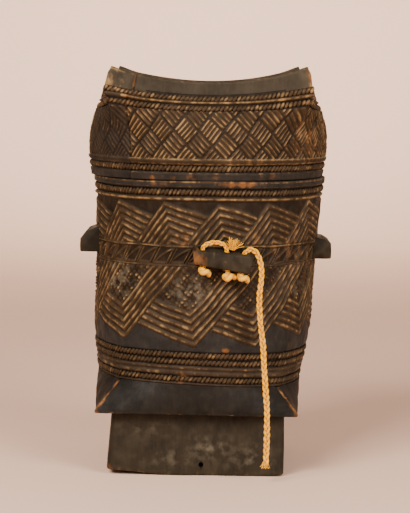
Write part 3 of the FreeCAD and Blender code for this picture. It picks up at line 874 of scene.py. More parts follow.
def rope_lines(name, levels, form, drift, height_of):
    """Closed lines round the box, one for each rope band, with the skin's outward direction."""
    count = 360
    inset = 0.95
    angle = angles_round(count)
    points, outward, edges = [], [], []
    for level in levels:
        height = height_of(angle, level)
        slope = (skin_radius(form, angle, height + 1.0) - skin_radius(form, angle, height - 1.0)) / 2
        facing = np.stack([np.sin(angle), -np.cos(angle), -slope], axis=-1)
        facing /= np.linalg.norm(facing, axis=-1, keepdims=True)
        first = len(points)
        on_skin = place(angle, skin_radius(form, angle, height), height, drift)
        points += (on_skin - inset * facing).tolist()
        outward += facing.tolist()
        edges += [(first + spot, first + (spot + 1) % count) for spot in range(count)]
    mesh = bpy.data.meshes.new(name)
    mesh.from_pydata(np.array(points) * MM, edges, [])
    store(mesh, "outward", outward, "FLOAT_VECTOR", "vector")
    return linked(name, mesh)


def mark_relief(thing, form, drift):
    """Stores how far each bead point stands out from the skin, for the worn colours and the painted
    highlight on the beads' tops.
    """
    sunk, rubbed = -1.0, 0.62
    points = points_of(thing.data)
    across = points[:, 0] - axis_x(points[:, 2]) - through(drift, 1, points[:, 2])
    angle = np.arctan2(across, -points[:, 1])
    proud = np.hypot(across, points[:, 1]) - skin_radius(form, angle, points[:, 2])
    store(thing.data, "relief", smooth((proud - sunk) / (rubbed - sunk)))
    store(thing.data, "wear", 0 * proud)


def lid_lift_of_bands(angle, bands):
    """The bands' true height: near the rim they rise towards its corners."""
    rim = polar_radius(angle, RIM_HALF, RIM_ROUND)
    rise = dish_height(rim, LID_BAND_LOW, BAND_CORNER) - LID_BAND_LOW
    return bands + rise * smooth((bands - 212.0) / 24.0) * 1.04


def route_points(name, route):
    """Points along the smooth curve that a route controls, in millimetres."""
    curve = bpy.data.curves.new(name + "_route", "CURVE")
    curve.dimensions = "3D"
    curve.resolution_u = 24
    spline = curve.splines.new("NURBS")
    spline.points.add(len(route) - 1)
    for point, spot in zip(spline.points, route):
        point.co = (*(Vector(spot) * MM), 1.0)
    spline.order_u = 3
    spline.use_endpoint_u = True
    thing = linked(name + "_route", curve)
    depsgraph = bpy.context.evaluated_depsgraph_get()
    mesh = bpy.data.meshes.new_from_object(thing.evaluated_get(depsgraph), depsgraph=depsgraph)
    points = np.array([vertex.co for vertex in mesh.vertices]) / MM
    bpy.data.objects.remove(thing)
    bpy.data.meshes.remove(mesh)
    return points


def even_points(points, step):
    """The same line with its points evenly spaced."""
    runs = np.linalg.norm(np.diff(points, axis=0), axis=1)
    travel = np.concatenate([[0.0], np.cumsum(runs)])
    count = max(2, int(round(travel[-1] / step)) + 1)
    at = np.linspace(0.0, travel[-1], count)
    return np.stack([np.interp(at, travel, points[:, axis]) for axis in range(3)], axis=1), at


def line_frames(points, side):
    """Directions across and out at each point of a line, starting from a side direction."""
    along = np.gradient(points, axis=0)
    along /= np.linalg.norm(along, axis=1, keepdims=True)
    across = []
    current = np.array(side, float)
    for direction in along:
        current = current - direction * current.dot(direction)
        current /= np.linalg.norm(current)
        across.append(current)
    across = np.array(across)
    return across, np.cross(along, across)


def tube_mesh(lines, radii):
    """Points, faces and UVs of closed tubes along lines."""
    points, faces, uvs = [], [], []
    sides = TUBE_SIDES
    around = np.arange(sides) / sides * FULL_TURN
    cosine, sine = np.cos(around)[None, :, None], np.sin(around)[None, :, None]
    for number, (line, radius) in enumerate(zip(lines, radii)):
        across, out = line_frames(line, (1.0, 0.05, 0.02))
        spokes = across[:, None, :] * cosine + out[:, None, :] * sine
        rings = line[:, None, :] + radius[:, None, None] * spokes
        first = len(points)
        rows = len(line)
        points += rings.reshape(-1, 3).tolist()
        for row in range(rows - 1):
            near, far = row * 0.2, row * 0.2 + 0.2
            for side in range(sides):
                after = (side + 1) % sides
                low, high = first + row * sides, first + (row + 1) * sides
                left, right = side / sides + number, (side + 1) / sides + number
                faces.append((low + side, low + after, high + after, high + side))
                uvs.append([(left, near), (right, near), (right, far), (left, far)])
        faces.append(tuple(first + side for side in range(sides - 1, -1, -1)))
        faces.append(tuple(first + (rows - 1) * sides + side for side in range(sides)))
        uvs += [[(number, 0.0)] * sides, [(number, rows * 0.2)] * sides]
    return points, faces, uvs


def tube_object(name, lines, radii, centre=None, radius=1.0):
    """Raffia tubes along lines; each point stores how far out of its cord's middle it lies, which sets the
    painted shade between the strands.
    """
    points, faces, uvs = tube_mesh(lines, radii)
    depth = np.ones(len(points))
    if centre is not None:
        spots = np.array(points)
        nearest = np.full(len(spots), 1e9)
        for spot in even_points(centre, 0.5)[0]:
            nearest = np.minimum(nearest, np.linalg.norm(spots - spot, axis=1))
        depth = np.clip(nearest / radius, 0.0, 1.0)
    thing = mesh_object(name, points, faces, finish_of(RAFFIA), (("outward", depth),))
    layer = thing.data.uv_layers.new(name="UVMap")
    pairs = np.array([pair for face in uvs for pair in face], dtype=np.float32)
    layer.data.foreach_set("uv", pairs.ravel())
    return thing


def plait(centre, radius, seed, lay=11.5):
    """Three strands plaited about a centre line, and each strand's radii; it thickens as it goes."""
    points, travel = even_points(centre, 0.55)
    swell = 0.9 + 0.12 * travel / travel[-1]
    across, out = line_frames(points, (1.0, 0.0, 0.0))
    pick = np.random.default_rng(seed)
    lines, radii = [], []
    for strand in range(3):
        phase = FULL_TURN * (travel / lay + strand / 3)
        wobble = 0.09 * np.sin(travel / 3.1 + pick.uniform(0, 6))
        wobble = wobble + 0.06 * np.sin(travel / 1.3 + pick.uniform(0, 6))
        sideways = radius * swell * 0.46 * np.sin(phase) + wobble
        outward = radius * swell * 0.30 * np.sin(2 * phase)
        lines.append(points + across * sideways[:, None] + out * outward[:, None])
        radii.append(radius * swell * (0.34 + 0.03 * np.sin(travel * 1.7 + strand)))
    return lines, radii


def knot_line(centre, turn):
    """A drawn-up overhand knot: one closed-looking turn of cord, squeezed."""
    t = np.linspace(0.12, 0.98, 64) * FULL_TURN
    loop = np.stack([np.sin(t) + 1.7 * np.sin(2 * t), np.cos(t) - 1.7 * np.cos(2 * t),
                     -1.25 * np.sin(3 * t)], axis=1)
    loop = loop * np.array(KNOT_SIZE) / 2.7
    spun = np.array(Matrix.Rotation(turn, 3, "Y")) @ loop.T
    return even_points(spun.T + np.array(centre), 0.5)[0]


def length_input(name, description, default):
    return bpy.props.FloatProperty(name=name, description=description, default=default, unit="LENGTH")


def colour_input(name, description, *shade):
    return bpy.props.FloatVectorProperty(name=name, description=description, size=4,
                                         default=(*shade, 1.0), subtype="COLOR")


class CarvedBoxSizes(bpy.types.PropertyGroup):
    """Sizes of the carving and the cords."""
    columns: bpy.props.IntProperty(name="Carving columns", description="Mesh columns round the box",
                                   default=800, min=180, max=900)
    row_height: length_input("Carving row", "Height of one mesh row", 0.0006)
    shell_depth: length_input("Carved shell depth", "Thickness of the carved rings", 0.0046)
    rope_pitch: length_input("Rope pitch", "Distance between carved rope beads", 0.0026)
    rope_slant: bpy.props.FloatProperty(name="Rope slant", description="Turn of each rope bead",
                                        default=math.radians(42.0), unit="ROTATION")
    rope_bead: bpy.props.FloatVectorProperty(name="Rope bead", description="Half-sizes: along, out and up",
                                             default=(0.00128, 0.0012, 0.0025), unit="LENGTH")
    cord_radius: length_input("Cord radius", "Radius of the plaited cord", 0.00235)
    fray_length: length_input("Fray length", "Length of the tuft's raffia fibres", 0.0062)
    end_length: length_input("End length", "Length of the loose fibres at the cord's end", 0.0036)
    fibre_width: length_input("Fibre width", "Radius of one loose raffia fibre", 0.00016)


class CarvedBoxColours(bpy.types.PropertyGroup):
    """Colours of the wood, the raffia and the studio."""
    plain_wood: colour_input("Plain wood", "Smooth dark wood", 0.038, 0.0212, 0.0094)
    dark_wood: colour_input("Dark wood", "Blackened plain wood", 0.0128, 0.0102, 0.0078)
    foot_wood: colour_input("Foot wood", "Olive-brown wood of the foot", 0.0245, 0.0175, 0.0100)
    rim_wood: colour_input("Rim wood", "Olive-brown wood of the lid's rim", 0.040, 0.0285, 0.0165)
    groove_wood: colour_input("Groove wood", "Sooty wood in the cuts", 0.0048, 0.0026, 0.0013)
    # Pale crests: rubbed wear together with painted highlight
    crest_wood: colour_input("Crest wood", "Crests rubbed pale and painted with highlight", 0.190, 0.112, 0.045)
    worn_wood: colour_input("Worn wood", "Reddish worn places", 0.150, 0.055, 0.014)
    raffia: colour_input("Raffia", "Pale raffia fibre", 0.98, 0.50, 0.014)
    # Painted shade between the cords' strands
    raffia_deep: colour_input("Raffia in painted shade", "Raffia in painted shade between the strands", 0.56, 0.22, 0.007)
    backdrop: colour_input("Backdrop", "Pale studio paper", 0.83, 0.557, 0.41)


def sizes():
    return bpy.context.scene.carved_box_sizes


def colours():
    return bpy.context.scene.carved_box_colours


def finish_of(name):
    """A wood or cord material, made once."""
    found = bpy.data.materials.get(name)
    if found:
        return found
    if name == RAFFIA:
        return raffia_material(name)
    shade, look = WOODS[name]
    return wood_material(name, shade, **look)


class Profile:
    """Rings of a turned block, and how rubbed and how worn each of their points is."""

    def __init__(self, angle):
        self.angle = angle
        self.rings, self.relief, self.wear = [], [], []

    def add(self, distance, level, relief, wear=0.0, drift=UPRIGHT):
        level_ring = 0 * self.angle
        self.rings.append(place(self.angle, distance + level_ring, level + level_ring, drift))
        self.relief.append(relief + level_ring)
        self.wear.append(wear + level_ring)

    def block(self, name, material):
        coats = (("relief", self.relief), ("wear", self.wear))
        block = turned_solid(name, self.rings, material, coats)
        soften_by_angle(block)
        return block


def carved_piece(name, angle, level, form, drift, relief, look):
    """One carved ring over its skin; relief is what a relief function gives."""
    cut, *coats = relief
    outer = place(angle, skin_radius(form, angle, level) + cut, level, drift)
    return closed_ring(name, outer, sizes().shell_depth / MM, finish_of(look), coats)


class CARVEDBOX_OT_vessel_carving(bpy.types.Operator):
    """Carve the vessel's belly: chevrons, middle band and ridges"""
    bl_idname = "carved_box.vessel_carving"
    bl_label = "Vessel carving"

    def execute(self, context):
        size = sizes()
        angle = angles_round(size.columns)[None, :]
        for name, low, high in (("vessel_carving_lower", PANEL_TOP, BAND_LOW + 0.2),
                                ("vessel_carving_upper", BAND_LOW + 0.2, SHOULDER)):
            rows = int((high - low) / (size.row_height / MM)) + 1
            bands = np.linspace(low, high, rows)[:, None] + 0 * angle
            level = bands + vessel_waver(angle, bands)
            ring = carved_piece(name, angle, level, VESSEL_FORM, VESSEL_DRIFT,
                                vessel_relief(angle, bands, level), "carved_wood")
            finish(ring, "vessel_body", ("vessel",))
        return {"FINISHED"}


class CARVEDBOX_OT_vessel_block(bpy.types.Operator):
    """Shape the base panel, the neck and the hollow of the vessel"""
    bl_idname = "carved_box.vessel_block"
    bl_label = "Vessel block"

    def execute(self, context):
        angle = angles_round(BLOCK_COLUMNS)
        depth = sizes().shell_depth / MM - RING_OVERLAP
        profile = Profile(angle)
        self.shape_panel(profile, angle)
        tuck = skin_radius(VESSEL_FORM, angle, PANEL_TOP + 1.0)
        profile.add(tuck - depth, PANEL_TOP + vessel_waver(angle, PANEL_TOP), 0.1, 0.0, VESSEL_DRIFT)
        for level in np.linspace(PANEL_TOP + 4.0, SHOULDER - 0.6, 12):
            profile.add(skin_radius(VESSEL_FORM, angle, level) - depth, level, 0.1, 0.0, VESSEL_DRIFT)
        for distance, level in ((NECK_RADIUS, SHOULDER - 0.6), (NECK_RADIUS, 187.0),
                                (NECK_RADIUS, NECK_TOP - 1.2), (NECK_RADIUS - 0.35, NECK_TOP - 0.35),
                                (NECK_RADIUS - 1.2, NECK_TOP), (CAVITY_MOUTH + 0.8, NECK_TOP),
                                (CAVITY_MOUTH + 0.2, NECK_TOP - 0.3), (CAVITY_MOUTH, NECK_TOP - 1.0)):
            profile.add(distance, level, 0.5)
        for level in np.linspace(186.0, FLOOR_LEVEL + FLOOR_FILLET, 14):
            share = (level - FLOOR_LEVEL) / (NECK_TOP - FLOOR_LEVEL)
            wall = between((CAVITY_FLOOR, CAVITY_MOUTH), share)
            profile.add(wall + 0.25 * ripples(angle, level, 33, 30.0), level, 0.4)
        for turn in np.linspace(0.2, 1.0, 5) * math.pi / 2:
            profile.add(CAVITY_FLOOR - FLOOR_FILLET + 12.5 * math.cos(turn),
                        FLOOR_LEVEL + FLOOR_FILLET * (1 - math.sin(turn)), 0.35)
        profile.add(8.0, FLOOR_LEVEL, 0.3)
        block = profile.block("vessel_block", finish_of("plain_wood_finish"))
        finish(block, "vessel_body", ("vessel",))
        return {"FINISHED"}

    def shape_panel(self, profile, angle):
        """The underside and the four sloping panels with their raised mitres."""
        corner = np.abs(np.mod(angle, math.pi / 2) - math.pi / 4) * 57.3 * MM_PER_DEGREE
        mitre = np.exp(-(corner / 1.1)**2)
        underside = BASE_LEVEL + vessel_waver(angle, BASE_LEVEL) * 0.25 + 0.35
        base = polar_radius(angle, PANEL_FORM[0][1], PANEL_FORM[0][2])
        for share in (0.04, 0.5, 0.985):
            profile.add(base * share, underside, 0.2, 0.0, VESSEL_DRIFT)
        top = PANEL_TOP + vessel_waver(angle, PANEL_TOP) - 2.2 * mitre
        for share in np.concatenate([[0.0, 0.02], np.linspace(0.05, 1.0, 24)]):
            at = BASE_LEVEL + (PANEL_TOP - BASE_LEVEL) * share
            level = underside + (top - underside) * share
            edge = 0.5 * smooth((0.02 - share) / 0.02)
            dent = 0.22 * ripples(angle, level, 31, 34.0) + 0.1 * ripples(angle, level, 32, 12.0)
            raised = 0.9 * mitre * smooth(share / 0.1) * (1 - 0.5 * share)
            lower_edge = smooth((0.07 - share) / 0.05)
            profile.add(skin_radius(PANEL_FORM, angle, at) - edge + dent + raised, level,
                        0.3 + 0.42 * mitre + 0.28 * lower_edge,
                        mitre * (0.85 + 0.25 * np.sin(level / 2.1)) + 0.3 * lower_edge, VESSEL_DRIFT)


class CARVEDBOX_OT_lid_carving(bpy.types.Operator):
    """Carve the lid's plait and bands"""
    bl_idname = "carved_box.lid_carving"
    bl_label = "Lid carving"

    def execute(self, context):
        size = sizes()
        angle = angles_round(size.columns)[None, :]
        rows = int((LID_BAND_LOW - SHOULDER) / (size.row_height / MM)) + 8
        bands = np.linspace(SHOULDER + 0.35, LID_BAND_LOW, rows)[:, None] + 0 * angle
        level = lid_lift_of_bands(angle, bands)
        # The mesh columns near the crack bend so that one of them runs along it
        crack_column = np.argmin(np.abs(np.degrees(angle[0]) + 39.0))
        shift = crack_angle(level) - angle[0, crack_column]
        away = np.degrees(np.abs(angle - angle[0, crack_column]))
        bent = angle + shift * smooth(1 - away / 9.0)
        ring = carved_piece("lid_carving", bent, level, LID_FORM, LID_DRIFT,
                            lid_relief(bent, bands, level), "lid_wood_finish")
        finish(ring, "lid_body", ("lid",))
        return {"FINISHED"}


class CARVEDBOX_OT_lid_block(bpy.types.Operator):
    """Shape the lid's square rim, its dished top and its hollow"""
    bl_idname = "carved_box.lid_block"
    bl_label = "Lid block"

    def execute(self, context):
        angle = angles_round(BLOCK_COLUMNS)
        # Five columns close up on the crack
        near = np.sort(np.argsort(np.abs(angle - RIM_CRACK))[:5])
        angle[near] = RIM_CRACK + np.radians([-1.2, -0.45, 0.0, 0.45, 1.2])
        depth = sizes().shell_depth / MM - RING_OVERLAP
        rim = polar_radius(angle, RIM_HALF, RIM_ROUND)
        profile = Profile(angle)
        dome = (CAVITY_MOUTH**2 + LID_DOME_RISE**2) / (2 * LID_DOME_RISE)
        for distance in (3.0, 20.0, 38.0, 50.0, 57.0):
            rise = LID_DOME_RISE - dome + math.sqrt(dome**2 - distance**2)
            profile.add(distance, LID_WALL_TOP + rise, 0.35)
        for distance, level in ((CAVITY_MOUTH, LID_WALL_TOP), (CAVITY_MOUTH, RECESS_TOP),
                                (RECESS_RADIUS, RECESS_TOP), (RECESS_RADIUS, SHOULDER + 1.0),
                                (RECESS_RADIUS + 0.5, SHOULDER + 0.35)):
            profile.add(distance, level, 0.4)
        seat = skin_radius(LID_FORM, angle, SHOULDER) - depth
        profile.add(seat, SHOULDER + 0.35, 0.2, 0.0, LID_DRIFT)
        for level in np.linspace(186.0, 216.0, 5):
            profile.add(skin_radius(LID_FORM, angle, level) - depth, level, 0.1, 0.0, LID_DRIFT)
        brow = lid_lift_of_bands(angle, LID_BAND_LOW)
        under_brow = np.minimum(rim - 1.0, skin_radius(LID_FORM, angle, brow) - depth)
        profile.add(under_brow, brow - 5.0, 0.1, 0.0, LID_DRIFT)
        self.shape_rim(profile, angle, rim)
        block = profile.block("lid_block", finish_of("rim_wood_finish"))
        finish(block, "lid_body", ("lid",))
        return {"FINISHED"}

    def shape_rim(self, profile, angle, rim):
        """The square rim with its blunt corners, its lip and the dished top."""
        corner = smooth((rim - 76.0) / 9.0)
        left_corner = np.exp(-((np.degrees(angle) + 44.0) / 4.5)**2)
        right_corner = np.exp(-((np.degrees(angle) - 45.5) / 2.6)**2)
        split = np.exp(-(np.degrees(angle - RIM_CRACK) / 0.5)**2)
        tilt = 0.7 * np.sin(angle) * smooth((rim - 62.0) / 20.0)
        rim_top = dish_height(rim, RIM_SIDE, LID_TOP) + tilt
        band_low = dish_height(rim, LID_BAND_LOW, BAND_CORNER)
        worn = 0.15 * left_corner + 0.6 * right_corner + 0.8 * split
        for share in np.linspace(0.0, 1.0, 14):
            level = band_low - 1.2 + (rim_top - 0.9 - band_low + 1.2) * share
            dent = 0.2 * ripples(angle, level, 41, 30.0) + 0.08 * ripples(angle, level, 42, 9.0)
            flare = 1 + 0.029 * (1 - share)
            blunt = 1.5 * corner * smooth((share - 0.55) / 0.45)**2
            rubbed = 0.3 + 0.3 * smooth((share - 0.9) / 0.1) + 0.6 * left_corner + 0.45 * right_corner
            profile.add(rim * flare + dent - 1.6 * split - blunt, level, rubbed, worn, LID_DRIFT)
        lip = np.stack([rim - 0.5, rim - 1.3, rim - 2.8]) - 1.5 * corner
        for inset, drop in ((lip[0], 0.45), (lip[1], 0.0), (lip[2], 0.2)):
            level = dish_height(inset + 3.0 * corner, RIM_SIDE, LID_TOP) - drop + tilt
            profile.add(inset - 1.0 * split, level, 0.6 + 0.35 * left_corner + 0.35 * right_corner,
                        0.15 * left_corner + 0.5 * right_corner, LID_DRIFT)
        for share in np.linspace(0.94, 0.06, 16):
            distance = lip[2] * share
            bumps = 0.25 * ripples(angle, share * 60.0, 43, 30.0) * share
            level = dish_height(distance, RIM_SIDE, LID_TOP) + bumps
            profile.add(distance, level - 0.2 + tilt * share**4, 0.45, 0.0, LID_DRIFT)


class CARVEDBOX_OT_ropes(bpy.types.Operator):
    """Carve the rope bands, as rows of slanted beads"""
    bl_idname = "carved_box.ropes"
    bl_label = "Rope bands"

    def execute(self, context):
        size = sizes()
        tree = carved_rope()

        def vessel_height(angle, level):
            return level + vessel_waver(angle, level)

        rows = (("vessel_ropes", VESSEL_ROPES, VESSEL_FORM, VESSEL_DRIFT, vessel_height, "vessel_body",
                 "vessel_wood", "vessel", "carved_wood"),
                ("lid_ropes", LID_ROPES, LID_FORM, LID_DRIFT, lid_lift_of_bands, "lid_body",
                 "lid_wood", "lid", "lid_wood_finish"))
        for name, levels, form, drift, height_of, body, slot, node, look in rows:
            lines = rope_lines(name, levels, form, drift, height_of)
            grow(lines, tree, {"Pitch": size.rope_pitch, "Bead": tuple(size.rope_bead),
                               "Slant": -size.rope_slant, "Seed": 7, "Material": finish_of(look)})
            mark_relief(lines, form, drift)
            finish(lines, body, (node,))
        return {"FINISHED"}


def square_outline(angle, power):
    """Distance to a square of half-width 1 with rounded corners."""
    return (np.abs(np.cos(angle))**power + np.abs(np.sin(angle))**power)**(-1 / power)


class CARVEDBOX_OT_foot(bpy.types.Operator):
    """Shape the square foot with its worn edge and its drilled hole"""
    bl_idname = "carved_box.foot"
    bl_label = "Foot"

    def execute(self, context):
        columns = 360
        angle = angles_round(columns)
        degrees = np.degrees(angle)
        shape = square_outline(angle, 26)
        inside = square_outline(angle, 12)
        worn_corner = np.exp(-((degrees + 45.0) / 15.0)**2)
        bottom = 0.25 + 2.3 * worn_corner + 0.25 * (1 + ripples(angle, 0.0, 51, 60.0)) * 0.5
        rings, relief, wear, dusty = [], [], [], []
        rows = [(1.2, 0.0), (0.35, 0.25), (0.0, 0.9)]
        rows += [(0.0, level) for level in np.linspace(3.0, BASE_LEVEL, 16)]
        for inset, lift in rows:
            share = lift / BASE_LEVEL
            level = bottom * (1 - share) + lift
            half = between(FOOT_HALVES, share) - inset
            dent = 0.25 * ripples(angle, level, 52, 45.0) + 0.1 * ripples(angle, level, 53, 14.0)
            rings.append(place(angle, (half + 0.7) * shape + dent * (1 - share), level, FOOT_DRIFT))
            rubbed = 0.36 + 0.4 * smooth((2.0 - lift) / 2.0) + 0.3 * smooth((lift - 37.0) / 1.5)
            relief.append(rubbed + 0 * angle)
            wear.append(0.5 * worn_corner * smooth((9.0 - lift) / 9.0) + 0 * angle)
            dusty.append(patches(degrees, level, FOOT_DUST))
        for level in (BASE_LEVEL, 20.0, 2.0, 0.0):
            share = level / BASE_LEVEL
            half = between(FOOT_HALVES, share) - FOOT_WALL
            rings.append(place(angle, half * inside, level + bottom * (1 - share)))
            relief.append(0.3 + 0 * angle)
            wear.append(0 * angle)
            dusty.append(0 * angle)
        points = np.array(rings).reshape(-1, 3)
        foot = mesh_object("foot_block", points, ring_faces(len(rings), columns, True),
                           finish_of("foot_wood_finish"), tuple(zip(COATS, (relief, wear, dusty))))
        hole = (axis_x(0.0) + FOOT_HOLE[0], FOOT_WALL / 2 - FOOT_HALVES[0], FOOT_HOLE[1])
        drill(foot, [hole], (0, 1, 0), FOOT_HOLE_RADIUS, 14.0)
        soften_by_angle(foot, 45.0)
        finish(foot, "vessel_body", ("foot",))
        return {"FINISHED"}


def lug_solid(name, top_ends, low_ends, top, bottom, rise):
    """A lug that faces the front: stations along it, each with seven corners."""
    points = []
    for share in np.linspace(0.0, 1.0, LUG_STATIONS):
        crown, low = between(top, share), between(bottom, share)
        side_ends = (between(low_ends, share), between(top_ends, share))
        for reach, level in ((LUG_ROOT, low), (LUG_REACH - 6.0, low - 0.1), (LUG_REACH, low),
                             (LUG_REACH + 0.15, (low + crown) / 2), (LUG_REACH - 0.1, crown),
                             (LUG_REACH - 4.0, crown + 0.55 * rise), (LUG_ROOT, crown + rise)):
            points.append((between(side_ends, (level - low) / (crown - low)), -reach, level))
    last = (LUG_STATIONS - 1) * LUG_CORNERS
    faces = ring_faces(LUG_STATIONS, LUG_CORNERS, False)
    faces.append(tuple(range(LUG_CORNERS - 1, -1, -1)))
    faces.append(tuple(last + corner for corner in range(LUG_CORNERS)))
    lug = mesh_object(name + "_block", points, faces, finish_of("lug_wood_finish"))
    shape = bmesh.new()
    shape.from_mesh(lug.data)
    bmesh.ops.recalc_face_normals(shape, faces=shape.faces)
    shape.to_mesh(lug.data)
    shape.free()
    return lug


def round_lug_edges(lug):
    edge = lug.modifiers.new("worn_edge", "BEVEL")
    edge.width = 1.0 * MM
    edge.segments = 3
    edge.limit_method = "ANGLE"
    edge.angle_limit = math.radians(40.0)
    fine = lug.modifiers.new("fine", "SUBSURF")
    fine.subdivision_type = "SIMPLE"
    fine.levels = fine.render_levels = 1
    finished_copy(lug)


def coat_lug(lug, azimuth, worn_spots):
    """Stores how rubbed and how worn a lug is, once it has its place round the vessel."""
    points = points_of(lug.data)
    side = points @ np.array([math.cos(azimuth), math.sin(azimuth), 0.0])
    out = np.hypot(points[:, 0], points[:, 1])
    noise = 0.12 * ripples(side / 70.0 + azimuth, points[:, 2] + out, 61, 9.0)
    store(lug.data, "relief", 0.28 + 0.12 * smooth((out - 77.0) / 1.5) + noise)
    store(lug.data, "wear", patches(side, points[:, 2], worn_spots))


class CARVEDBOX_OT_lugs(bpy.types.Operator):
    """Shape the four pierced lugs"""
    bl_idname = "carved_box.lugs"
    bl_label = "Pierced lugs"

    def execute(self, context):
        for name, degrees, top_ends, low_ends, top, bottom, rise, holes in LUGS:
            azimuth = math.radians(degrees)
            lug = lug_solid(name, top_ends, low_ends, top, bottom, rise)
            round_lug_edges(lug)
            drill(lug, [(hole, -HOLE_REACH, 136.0) for hole in holes], (0, 0, 1), HOLE_RADIUS, 60.0)
            lug.data.transform(Matrix.Rotation(azimuth, 4, "Z"))
            coat_lug(lug, azimuth, LUG_WEAR if name == "lug_front" else ())
            soften_by_angle(lug, 40.0)
            finish(lug, "vessel_body", (name,))
        return {"FINISHED"}


class CARVEDBOX_OT_cords(bpy.types.Operator):
    """Plait the hanging cord and the short cord, and tie their knots"""
    bl_idname = "carved_box.cords"
    bl_label = "Raffia cords"

    def execute(self, context):
        size = sizes()
        radius = size.cord_radius / MM
        centre = route_points("hanging_cord", HANGING_ROUTE)
        lines, radii = plait(centre, radius, 71)
        hanging = tube_object("hanging_cord_plait", lines, radii, centre, radius)
        finish(hanging, "vessel_body", ("hanging_cord",))
        short = route_points("short_cord", LOOP_ROUTE)
        lines, radii = plait(short, SHORT_CORD_SHARE * radius, 72, lay=10.0)
        loop = tube_object("short_cord_plait", lines, radii, short, SHORT_CORD_SHARE * radius)
        finish(loop, "vessel_body", ("cord_loop",))
        for name, places, node in KNOTS:
            lines = []
            for number, spot in enumerate(places):
                lines.append(knot_line(spot, math.radians(28.0 - 30.0 * number)))
                lines.append(np.array([(spot[0] - 1.0, -HOLE_REACH, spot[2] + drop)
                                       for drop in np.linspace(0.0, 9.0, 8)]))
            radii = [np.full(len(line), KNOT_STRAND) for line in lines]
            finish(tube_object(name, lines, radii), "vessel_body", (node,))
        return {"FINISHED"}


class CARVEDBOX_OT_fibres(bpy.types.Operator):
    """Fray the raffia: a tuft at the second hole and the cord's loose end"""
    bl_idname = "carved_box.fibres"
    bl_label = "Loose fibres"

    def execute(self, context):
        size = sizes()
        tree = loose_fibres()
        rows = (("frayed_tuft", (15.4, -74.2, 141.2), (0.25, -0.1, 1.0), 2.0, 7e6, size.fray_length,
                 0.55, 81),
                ("frayed_end", (37.6, -74.0, 13.0), (-0.05, 0.0, -1.0), 1.9, 6e6, size.end_length,
                 0.25, 82))
        for name, spot, heading, radius, density, length, spread, seed in rows:
            tuft = primitive(name, bmesh.ops.create_circle, spot, heading, segments=16, radius=radius * MM)
            grow(tuft, tree, {"Density": density, "Length": length, "Thickness": size.fibre_width,
                              "Spread": spread, "Seed": seed, "Material": finish_of(RAFFIA)})
            # Loose fibres count as fully out, so they get no painted shade
            store(tuft.data, "outward", np.ones(len(tuft.data.vertices)))
            finish(tuft, "vessel_body")
        return {"FINISHED"}


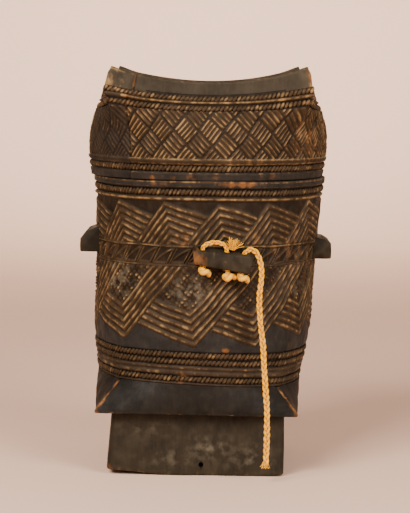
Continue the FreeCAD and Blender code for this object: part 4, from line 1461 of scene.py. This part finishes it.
class CARVEDBOX_OT_stage(bpy.types.Operator):
    """Lay the pale floor, set the soft lights and the photo's camera"""
    bl_idname = "carved_box.stage"
    bl_label = "Stage"

    def execute(self, context):
        self.lay_paper()
        self.hang_lights()
        self.set_camera(context.scene)
        world = bpy.data.worlds.new("studio_air")
        world.use_nodes = True
        air = world.node_tree.nodes["Background"]
        air.inputs["Color"].default_value = AIR_TINT
        air.inputs["Strength"].default_value = AIR_STRENGTH
        context.scene.world = world
        return {"FINISHED"}

    def lay_paper(self):
        """One sheet that runs from the floor up the wall in a wide bend."""
        start = PAPER_DEPTH - PAPER_BEND
        profile = [(PAPER_FRONT, 0.0), (start, 0.0)]
        profile += [(start + PAPER_BEND * math.sin(turn), PAPER_BEND - PAPER_BEND * math.cos(turn))
                    for turn in np.linspace(0.1, math.pi / 2, 16)]
        profile += [(PAPER_DEPTH, PAPER_TOP)]
        points = [(side, out, up) for out, up in profile for side in (-PAPER_HALF, PAPER_HALF)]
        faces = [(2 * spot, 2 * spot + 1, 2 * spot + 3, 2 * spot + 2) for spot in range(len(profile) - 1)]
        mesh_object("studio_floor", points, faces, paper_material("studio_paper"))

    def hang_lights(self):
        for name, kind, spot, aim, width, power, tint in LIGHTS:
            lamp = bpy.data.lights.new(name, kind)
            if kind == "SPOT":
                lamp.spot_size = SPOT_ANGLE
                lamp.spot_blend = 1.0
                lamp.shadow_soft_size = width * MM
            else:
                lamp.shape = "SQUARE"
                lamp.size = width * MM
            lamp.energy = power
            lamp.color = tint
            light = linked(name, lamp)
            light.location = Vector(spot) * MM
            light.rotation_euler = (Vector(aim) - Vector(spot)).to_track_quat("-Z", "Y").to_euler()

    def set_camera(self, scene):
        camera = bpy.data.cameras.new("photo_camera")
        camera.sensor_width = 36.0
        camera.lens = CAMERA_LENS
        camera.clip_end = 20.0
        viewer = linked("photo_camera", camera)
        tilt = Matrix.Rotation(math.radians(90.0 - CAMERA_PITCH), 4, "X")
        roll = Matrix.Rotation(math.radians(CAMERA_ROLL), 4, "Z")
        viewer.matrix_world = Matrix.Translation(Vector(CAMERA_PLACE) * MM) @ tilt @ roll
        scene.camera = viewer


STEPS = (CARVEDBOX_OT_cords, CARVEDBOX_OT_vessel_carving, CARVEDBOX_OT_vessel_block,
         CARVEDBOX_OT_lid_carving, CARVEDBOX_OT_lid_block, CARVEDBOX_OT_ropes,
         CARVEDBOX_OT_foot, CARVEDBOX_OT_lugs, CARVEDBOX_OT_fibres, CARVEDBOX_OT_stage)


class CARVEDBOX_PT_panel(bpy.types.Panel):
    """Lists the box's pieces in the sidebar"""
    bl_idname = "CARVEDBOX_PT_panel"
    bl_label = "Carved box"
    bl_space_type = "VIEW_3D"
    bl_region_type = "UI"
    bl_category = "Carved box"

    def draw(self, context):
        for group in (context.scene.carved_box_sizes, context.scene.carved_box_colours):
            for name in group.__annotations__:
                self.layout.prop(group, name)
        for step in STEPS:
            self.layout.operator(step.bl_idname)


CLASSES = (CarvedBoxSizes, CarvedBoxColours, *STEPS, CARVEDBOX_PT_panel)


def register():
    for entry in CLASSES:
        bpy.utils.register_class(entry)
    bpy.types.Scene.carved_box_sizes = bpy.props.PointerProperty(type=CarvedBoxSizes)
    bpy.types.Scene.carved_box_colours = bpy.props.PointerProperty(type=CarvedBoxColours)


def unregister():
    del bpy.types.Scene.carved_box_sizes
    del bpy.types.Scene.carved_box_colours
    for entry in reversed(CLASSES):
        bpy.utils.unregister_class(entry)


def main():
    register()
    for step in STEPS:
        group, name = step.bl_idname.split(".")
        getattr(getattr(bpy.ops, group), name)()


if __name__ == "__main__":
    main()
